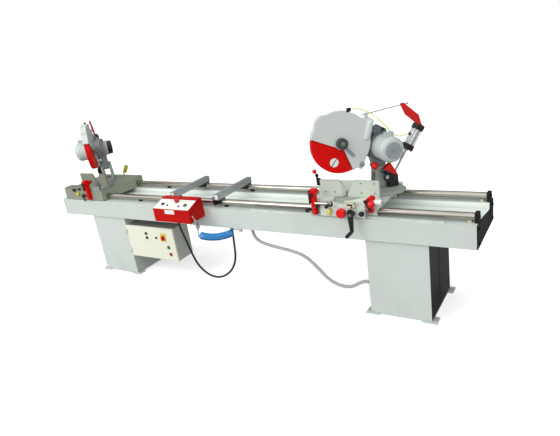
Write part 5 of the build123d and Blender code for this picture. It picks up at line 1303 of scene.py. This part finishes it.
class MITRESAW_OT_bases(Operator):
    """Knobs, levers, indicator and screws of both bases"""
    bl_idname = "mitresaw.bases"
    bl_label = "Base fittings"

    def execute(self, context):
        self.stop_barrel()
        self.apron()
        self.crank()
        self.fence()
        self.right_clamp_lever()
        self.left_base()
        for side in SIDES:
            self.clamps(side)
        return {"FINISHED"}

    def stop_barrel(self):
        """The barrel of the length stop over the apron, with its ball and the blocks that hold it."""
        start = at(*STOP_START, RIGHT)
        barrel = ((11.0, 0.0), (13.0, 2.0), (13.0, 100.0), (11.0, 102.0), (6.0, 102.0), (6.0, 122.0))
        add_piece("stop_barrel", "rail_chrome", "carriage", turned(barrel, start, 28),
                  ring(13.0, 21.0, 128.0, 136.0, start))
        blocks = [block(*STOP_BLOCK, along_bed(x), 2.0) for x in STOP_BLOCK_X]
        add_piece("stop_ball", "black_plastic", "carriage", ball(17.0, at(*STOP_BALL, RIGHT)), *blocks)

    def apron(self):
        """Knob, yellow lever and position indicator on the carriage's apron."""
        place = on_front(APRON_FACE, *APRON_KNOB)
        add_piece("apron_knobs", "black_plastic", "carriage", knob(place, 20.0, 30.0))
        place = on_front(APRON_FACE, *APRON_LEVER)
        boss = turned(((9.0, 0.0), (7.0, 6.0), (7.0, 14.0), (0.0, 14.0)), place, 24)
        bar = round_plate(20.0, 58.0, 9.0, 10.0, 24.0, moved(place, turn=-32.0), 3.5)
        add_piece("apron_lever", "yellow_plastic", "carriage", boss, bar)
        place = on_front(APRON_FACE, *INDICATOR)
        housing = round_plate(66.0, 38.0, 6.0, 0.0, 26.0, place, 3.0)
        add_piece("position_indicator", "beige_paint", "carriage", housing)
        window = round_plate(44.0, 12.0, 2.0, 26.0, 26.8, moved(place, 0.0, 4.0), 0.3)
        dial = turned(((6.0, 26.0), (6.0, 31.0), (4.5, 33.0), (0.0, 33.0)), moved(place, 14.0, -11.0), 20)
        add_piece("indicator_window", "black_plastic", "carriage", window, dial)

    def crank(self):
        grip = ((10.5, 0.0), (13.0, 6.0), (14.5, 30.0), (14.0, 60.0), (12.5, 84.0), (9.0, 91.0), (0.0, 92.5))
        low_end = on_front(CRANK_GRIP_Y, CRANK[0], CRANK[1] - CRANK_ARM)
        add_piece("crank_grip", "black_plastic", "crank", turned(grip, low_end, 28))
        nut = hex_bolt(on_front(CRANK_NUT_Y, *CRANK), 19.0, 6.0, 13.0)
        add_piece("crank_nut", "bolt_steel", "crank", nut)

    def fence(self):
        """Screws of the right fence, and the bracket and ball knob at its left end."""
        screws = [cap_screw(on_front(FENCE_FACE, *place), 5.5, 3.0) for place in FENCE_SCREWS]
        add_piece("fence_screws", "bolt_steel", "carriage", *screws)
        post = ((9.0, 0.0), (9.0, 12.0), (13.0, 14.0), (13.0, 30.0), (10.0, 33.0), (0.0, 33.0))
        add_piece("fence_end_bracket", "dark_paint", "carriage", block(*FENCE_END_BLOCK, bevel=2.5),
                  turned(post, at(*FENCE_END_POST, UP), 24))
        stem = turned(((5.0, -30.0), (5.0, -12.0)), at(*FENCE_END_STEM, FENCE_END_LEAN), 16)
        add_piece("fence_end_knob", "red_plastic", "carriage", stem, ball(17.0, at(*FENCE_END_BALL, UP)))

    def right_clamp_lever(self):
        """Ball, lever and air valve on the clamp at the carriage's outer end."""
        add_piece("clamp_ball", "red_plastic", "carriage", ball(28.0, at(*CLAMP_BALL, FRONT), 18))
        lever = round_plate(15.0, 92.0, 7.0, -6.0, 6.0, moved(at(*CLAMP_LEVER, FRONT), turn=30.0), 2.5)
        add_piece("clamp_lever", "black_plastic", "carriage", lever)
        place = at(*CLAMP_VALVE, RIGHT)
        barrel = ((10.0, 0.0), (10.0, 26.0), (18.0, 28.0), (18.0, 72.0), (15.0, 75.0), (0.0, 75.0))
        add_piece("clamp_valve", "white_plastic", "carriage", turned(barrel, place, 28))
        end = ((9.0, 75.0), (9.0, 90.0), (7.0, 93.0), (0.0, 93.0))
        add_piece("clamp_valve_end", "boss_paint", "carriage", turned(end, place, 24))

    def left_base(self):
        """Knobs and pin on the left base's front, and the upright lever at its back."""
        large, small = (on_front(LEFT_BASE_FACE, *place) for place in LEFT_KNOBS)
        pin = ((10.0, 0.0), (10.0, 10.0), (6.0, 14.0), (6.0, 78.0), (4.0, 80.0), (0.0, 80.0))
        add_piece("left_base_knob", "black_plastic", "bed", knob(large, 17.0, 28.0),
                  knob(small, 13.0, 24.0, 5), turned(pin, at(*LEFT_PIN, -UP), 20))
        yellow = on_front(LEFT_BASE_FACE, *LEFT_YELLOW_KNOB)
        add_piece("left_base_yellow_knob", "yellow_plastic", "bed", knob(yellow, 17.0, 24.0, 5))
        stem = turned(((9.0, 0.0), (8.0, 8.0), (6.0, 12.0), (6.0, 40.0)), at(*PADDLE, UP), 20)
        leaning = moved(moved(at(*PADDLE, FRONT), turn=-34.0), 0.0, 82.0)
        add_piece("left_base_paddle", "yellow_plastic", "bed", stem,
                  round_plate(40.0, 104.0, 18.0, -9.0, 9.0, leaning, 5.0))

    def clamps(self, side):
        """Knobs on the clamps' rods, screws in their legs, and the grips beside the inner clamp."""
        body = BASE_BODY[side]
        knobs = [knob(on_front(CLAMP_FRONT, x, z), 15.0, 16.0) for x, z, heights in CLAMPS[side]]
        add_piece(f"{side}_clamp_knobs", "black_plastic", body, *knobs)
        screws = [cap_screw(on_front(CLAMP_LEG_FACE, x, height), 7.0, 5.0)
                  for x, z, heights in CLAMPS[side] for height in heights]
        add_piece(f"{side}_clamp_screws", "bolt_steel", body, *screws)
        x = CLAMPS[side][0][0]
        across, z = CLAMP_GRIP
        grip = knob(on_front(CLAMP_LEG_FACE, x + across, z), 17.0, 26.0, 6)
        bars = [block(low, high, along_bed(x), bevel) for low, high, bevel in CLAMP_BARS]
        add_piece(f"{side}_clamp_grips", "black_plastic", body, grip, *bars)


# Saw heads: places in the head's own frame, as u and z or as v, u and z

END_RINGS = ((49.0, 55.0), (33.0, 38.0), (18.0, 22.5))
END_SPOKES = 8
END_SPOKE = ((8.0, -1.6, 0.0), (50.0, 1.6, 2.2))
FLANGE_BOLTS = 4
FLANGE_BOLT_REACH = 99.5
LID_SCREWS = [(v, u) for v in (-18.0, 18.0) for u in (-21.0, 21.0)]
LID_HEIGHT = 3.5
TIE_RODS = [(x, y) for x in (-26.0, 26.0) for y in (-26.0, 26.0)]
HUB_GRIP_INSET = 5.0
GUARD_SCREWS = ((-206.0, 1398.0), (-135.0, 1506.0), (196.0, 1428.0))
GUARD_BOSS = (114.0, 1138.0)
GUARD_ROLL = (184.0, 1376.0)
GUARD_PLUG = (-94.0, 1189.0)
PLUG_RADIUS = 33.0
PLUG_TURN = math.radians(48.0)
PIVOT_BALL = (20.0, 212.0, 1104.0)
SHOULDER_KNOB = (-5.0, 304.0, 1358.0)
COVER_SCREWS = ((-76.0, 1320.0), (-20.0, 1368.0), (120.0, 1340.0), (250.0, 1300.0), (-20.0, 1274.0),
                (120.0, 1224.0))
HOSE_RING = (306.0, 1000.0)
DRUM_RINGS = ((54.0, 60.0), (38.0, 43.0), (22.0, 27.0))
STAY_END = 4.0


class MITRESAW_OT_heads(Operator):
    """Motor, cylinder, guard and pivot fittings of both saw heads"""
    bl_idname = "mitresaw.heads"
    bl_label = "Saw head fittings"

    def execute(self, context):
        for side in SIDES:
            self.motor(side)
            self.cylinder(side)
            self.guard(side)
            self.guard_plug(side)
            self.arm(side)
            self.turntable(side)
            self.arm_back(side)
        return {"FINISHED"}

    def motor(self, side):
        """Rings and spokes on the motor's end, bolts of its flange, and the lid of its terminal box."""
        body = f"{side}_head"
        end = on_head(side, MOTOR_END, *MOTOR)
        rings = [ring(inner, outer, 0.0, 3.0, end) for inner, outer in END_RINGS]
        middle = turned(((9.0, 0.0), (8.0, 4.0), (0.0, 4.6)), end, 24)
        spokes = [block(*END_SPOKE, moved(end, turn=360.0 * step / END_SPOKES), 0.4)
                  for step in range(END_SPOKES)]
        add_piece(f"{side}_motor_end_rings", "boss_paint", body, *rings, middle, *spokes)
        bolts = []
        for step in range(FLANGE_BOLTS):
            angle = 2 * math.pi * (step + 0.5) / FLANGE_BOLTS
            u = MOTOR[0] + FLANGE_BOLT_REACH * math.cos(angle)
            z = MOTOR[1] + FLANGE_BOLT_REACH * math.sin(angle)
            bolts.append(hex_bolt(on_head(side, MOTOR_FLANGE, u, z), 8.0, 5.0, 5.5))
        for v, u in LID_SCREWS:
            place = facing(head_point(side, LID_V + v, MOTOR[0] + u, LID_TOP + LID_HEIGHT), UP)
            bolts.append(cap_screw(place, 3.2, 1.8))
        add_piece(f"{side}_motor_bolts", "bolt_steel", body, *bolts)
        top = placed(head_point(side, LID_V, MOTOR[0], LID_TOP), *head_axes(side), UP)
        add_piece(f"{side}_terminal_lid", "motor_lid_paint", body,
                  round_plate(54.0, 60.0, 9.0, -5.0, LID_HEIGHT, top, 1.6))

    def cylinder(self, side):
        """Tie rods with their nuts, and the fitting in the port."""
        body = f"{side}_head"
        length = CYLINDER_LENGTH - 2 * CYLINDER_CAP_HALF
        rods = []
        for x, y in TIE_RODS:
            start = moved(on_cylinder(side, CYLINDER_CAP_HALF), x, y)
            rods.append(turned(((4.0, 0.0), (4.0, length)), start, 16))
            foot = moved(on_cylinder(side, -CYLINDER_CAP_HALF), x, y) @ Matrix.Rotation(math.pi, 4, "X")
            rods.append(hex_bolt(foot, 10.0, 6.0))
        add_piece(f"{side}_tie_rods", "rail_chrome", body, *rods)
        port = facing(head_point(side, 0, *CYLINDER_PORT), head_axes(side)[1])
        add_piece(f"{side}_cylinder_fitting", "black_plastic", body, ring(7.0, 10.5, 2.0, 14.0, port, 24))

    def guard(self, side):
        """Hub grip and nut, screws, corner boss and back roll of the upper guard."""
        body = f"{side}_head"
        face = on_head(side, GUARD_FACE, *SPINDLE)
        grip_end = HUB_END[side] - GUARD_FACE - HUB_GRIP_INSET
        grip = prism(lobed_outline(40.0, 1.6, 24, 4), 1.0, grip_end, face, 0.5)
        add_piece(f"{side}_hub_grip", "hub_plastic", body, grip)
        nut = hex_bolt(on_head(side, HUB_END[side], *SPINDLE), 22.0, 7.0, 18.0)
        add_piece(f"{side}_hub_nut", "bolt_steel", body, nut)
        screws = [cap_screw(on_head(side, GUARD_FACE, u, z), 5.0, 2.0) for u, z in GUARD_SCREWS]
        add_piece(f"{side}_guard_screws", "guard_paint", body, *screws)
        boss = ((20.0, -8.0), (20.0, 6.0), (18.5, 8.0), (0.0, 8.0))
        corner = on_head(side, GUARD_FACE, *GUARD_BOSS)
        add_piece(f"{side}_guard_boss", "boss_paint", body, turned(boss, corner, 32))
        leaning = moved(on_head(side, GUARD_FACE, *GUARD_ROLL), turn=-20.0)
        add_piece(f"{side}_guard_roll", "guard_paint", body, roll(24.0, 150.0, 16.0, leaning))

    def guard_plug(self, side):
        """The round plug in the lower guard: two pale halves beside a dark slot."""
        body = f"{side}_lower_guard"
        place = on_head(side, LOWER_GUARD_FACE, *GUARD_PLUG)
        seat = turned(((PLUG_RADIUS, 0.0), (PLUG_RADIUS, 0.6), (0.0, 0.6)), place, 40)
        add_piece(f"{side}_plug_seat", "hub_plastic", body, seat)
        halves = [prism(half_disc(PLUG_RADIUS, 7.0, PLUG_TURN, way), 0.4, 2.3, place, 0.5) for way in (-1, 1)]
        add_piece(f"{side}_guard_plug", "white_plastic", body, *halves)

    def arm(self, side):
        """Ball handle, knob and cover screws of the arm."""
        body = f"{side}_head"
        place = on_head(side, *PIVOT_BALL)
        add_piece(f"{side}_pivot_ball", "red_plastic", body, ball(28.0, place))
        stem = ((16.0, -58.0), (16.0, -50.0), (10.0, -47.0), (10.0, -16.0))
        add_piece(f"{side}_ball_stem", "bolt_steel", body, turned(stem, place, 24))
        shoulder = on_head(side, *SHOULDER_KNOB)
        add_piece(f"{side}_shoulder_knob", "black_plastic", body, knob(shoulder, 11.0, 16.0))
        screws = [cap_screw(on_head(side, COVER_FACE, u, z, -1.0), 5.0, 3.0) for u, z in COVER_SCREWS]
        add_piece(f"{side}_casting_screws", "bolt_steel", body, *screws)

    def turntable(self, side):
        """Pivot bolt in the cheek, and the hose ring on the rod bracket."""
        body = f"{side}_turntable"
        bolt = hex_bolt(on_head(side, CHEEK_FACE, *PIVOT), 30.0, 12.0, 22.0)
        add_piece(f"{side}_pivot_bolt", "bolt_steel", body, bolt)
        eye = on_head(side, BRACKET_FACE, *HOSE_RING)
        add_piece(f"{side}_hose_ring", "black_plastic", body, ring(15.0, 31.0, 0.0, 14.0, eye, 36))
        disc = turned(((15.5, 0.0), (15.5, 4.0), (0.0, 4.0)), eye, 32)
        add_piece(f"{side}_ring_plate", "motor_lid_paint", body, disc)

    def arm_back(self, side):
        """Rings on the drum's end, and the nut on the stay's back end."""
        body = f"{side}_head"
        drum_end = on_head(side, DRUM_END, *MOTOR, -1.0)
        rings = [ring(inner, outer, 0.0, 3.0, drum_end) for inner, outer in DRUM_RINGS]
        add_piece(f"{side}_drum_rings", "black_plastic", body, *rings)
        back = head_point(side, 0, *STAY_BACK)
        way = back - head_point(side, 0, *STAY_FRONT)
        nut = hex_bolt(facing(back + way.normalized() * (STAY_END * MM), way), 11.0, 8.0)
        add_piece(f"{side}_stay_nut", "bolt_steel", body, nut)


# Stage: places in metres

CAMERA_PLACE = Vector((2.68179, -3.43465, 2.11654))
CAMERA_RIGHT = Vector((0.85078, 0.50632, -0.14079))
CAMERA_UP = Vector((-0.06199, 0.36272, 0.92983))
CAMERA_BACK = Vector((0.52185, -0.78235, 0.33998))
CAMERA_SENSOR = 36.0
CAMERA_FAR = 200.0
LIGHT_WAY = Vector((0.05, -0.80, 0.60)).normalized()
KEY_PLACE = Vector((-2.5, -5.0, 4.2))
KEY_TARGET = Vector((0.0, 0.0, 0.8))
KEY_SIZE = 3.0
# The floor, in millimetres
FLOOR_REACH = 30000.0
FLOOR_HEIGHTS = (-40.0, -1.0)
# How much light the floor throws back
FLOOR_RETURN = 0.35


class MITRESAW_OT_stage(Operator):
    """Pale floor, soft light and the camera"""
    bl_idname = "mitresaw.stage"
    bl_label = "Stage"

    def execute(self, context):
        stage = settings()[2]
        scene = context.scene
        camera = bpy.data.cameras.new("camera")
        camera.lens = stage.lens
        camera.sensor_width = CAMERA_SENSOR
        camera.sensor_fit = "HORIZONTAL"
        camera.clip_end = CAMERA_FAR
        holder = bpy.data.objects.new("camera", camera)
        holder.matrix_world = placed(CAMERA_PLACE, CAMERA_RIGHT, CAMERA_UP, CAMERA_BACK)
        scene.collection.objects.link(holder)
        scene.camera = holder
        scene.view_settings.view_transform = "Standard"
        self.room(scene, stage)
        self.key_light(scene, stage)
        self.floor(scene, stage)
        return {"FINISHED"}

    def room(self, scene, stage):
        """A room that is bright in front and above, dim behind, and white where the camera looks."""
        world = bpy.data.worlds.new("white room")
        world.use_nodes = True
        tree = Tree(world.node_tree)
        shown = tree.data.nodes["Background"]
        shown.inputs["Color"].default_value = WHITE
        shining = tree.node("Background")
        shining.inputs["Color"].default_value = WHITE
        toward = tree.vector("DOT_PRODUCT", tree.node("TexCoord").outputs["Generated"], LIGHT_WAY)
        bright = tree.math("MULTIPLY_ADD", tree.ramp(toward, -0.35, 0.95), stage.sky, stage.dim)
        tree.plug(shining.inputs["Strength"], bright)
        both = tree.node("MixShader")
        for target, source in zip(both.inputs, (self.seen(tree), shining.outputs[0], shown.outputs[0])):
            tree.plug(target, source)
        tree.plug(tree.data.nodes["World Output"].inputs["Surface"], both.outputs[0])
        scene.world = world

    def seen(self, tree):
        """1 where the camera looks straight at something, 0 in what is thrown back."""
        return tree.node("LightPath").outputs["Is Camera Ray"]

    def key_light(self, scene, stage):
        lamp = bpy.data.lights.new("key light", "AREA")
        lamp.energy = stage.key
        lamp.size = KEY_SIZE
        holder = bpy.data.objects.new("key light", lamp)
        holder.matrix_world = facing(KEY_PLACE, KEY_PLACE - KEY_TARGET)
        scene.collection.objects.link(holder)

    def floor(self, scene, stage):
        """A large plain floor, white to the camera and quieter in what it throws back."""
        low, high = FLOOR_HEIGHTS
        mesh = block((-FLOOR_REACH, -FLOOR_REACH, low), (FLOOR_REACH, FLOOR_REACH, high))
        data = bpy.data.meshes.new("floor")
        mesh.to_mesh(data)
        mesh.free()
        material = bpy.data.materials.new("floor")
        material.use_nodes = True
        tree = Tree(material.node_tree)
        shader = tree.data.nodes["Principled BSDF"]
        seen = self.seen(tree)
        tone = tree.mix(seen, shaded(WHITE, FLOOR_RETURN), linear(stage.floor))
        tree.plug(shader.inputs["Base Color"], tone)
        shader.inputs["Roughness"].default_value = 0.9
        shader.inputs["Specular IOR Level"].default_value = 0.1
        shader.inputs["Emission Color"].default_value = WHITE
        tree.plug(shader.inputs["Emission Strength"], tree.times(seen, stage.glow))
        data.materials.append(material)
        holder = bpy.data.objects.new("floor", data)
        scene.collection.objects.link(holder)


# Panel and registering

STEPS = (MITRESAW_OT_finishes, MITRESAW_OT_stage, MITRESAW_OT_cords, MITRESAW_OT_bed, MITRESAW_OT_supports,
         MITRESAW_OT_cabinet, MITRESAW_OT_control_box, MITRESAW_OT_bases, MITRESAW_OT_heads)


class MITRESAW_PT_panel(Panel):
    """Builds the saw's looks, one group of pieces after the other"""
    bl_idname = "MITRESAW_PT_panel"
    bl_label = "Mitre saw"
    bl_space_type = "VIEW_3D"
    bl_region_type = "UI"
    bl_category = "Mitre saw"

    def draw(self, context):
        for step in STEPS:
            self.layout.operator(step.bl_idname)
        for group in settings():
            box = self.layout.box()
            for title in type(group).__annotations__:
                box.prop(group, title)


CLASSES = (MitreSawColours, MitreSawSizes, MitreSawStage, *STEPS, MITRESAW_PT_panel)
GROUP_NAMES = {"mitre_saw_colours": MitreSawColours, "mitre_saw_sizes": MitreSawSizes,
               "mitre_saw_stage": MitreSawStage}


def register():
    for item in CLASSES:
        bpy.utils.register_class(item)
    for name, group in GROUP_NAMES.items():
        setattr(bpy.types.Scene, name, PointerProperty(type=group))


def unregister():
    for name in GROUP_NAMES:
        delattr(bpy.types.Scene, name)
    for item in reversed(CLASSES):
        bpy.utils.unregister_class(item)


def main():
    register()
    for step in STEPS:
        group, action = step.bl_idname.split(".")
        getattr(getattr(bpy.ops, group), action)()


if __name__ == "__main__":
    main()
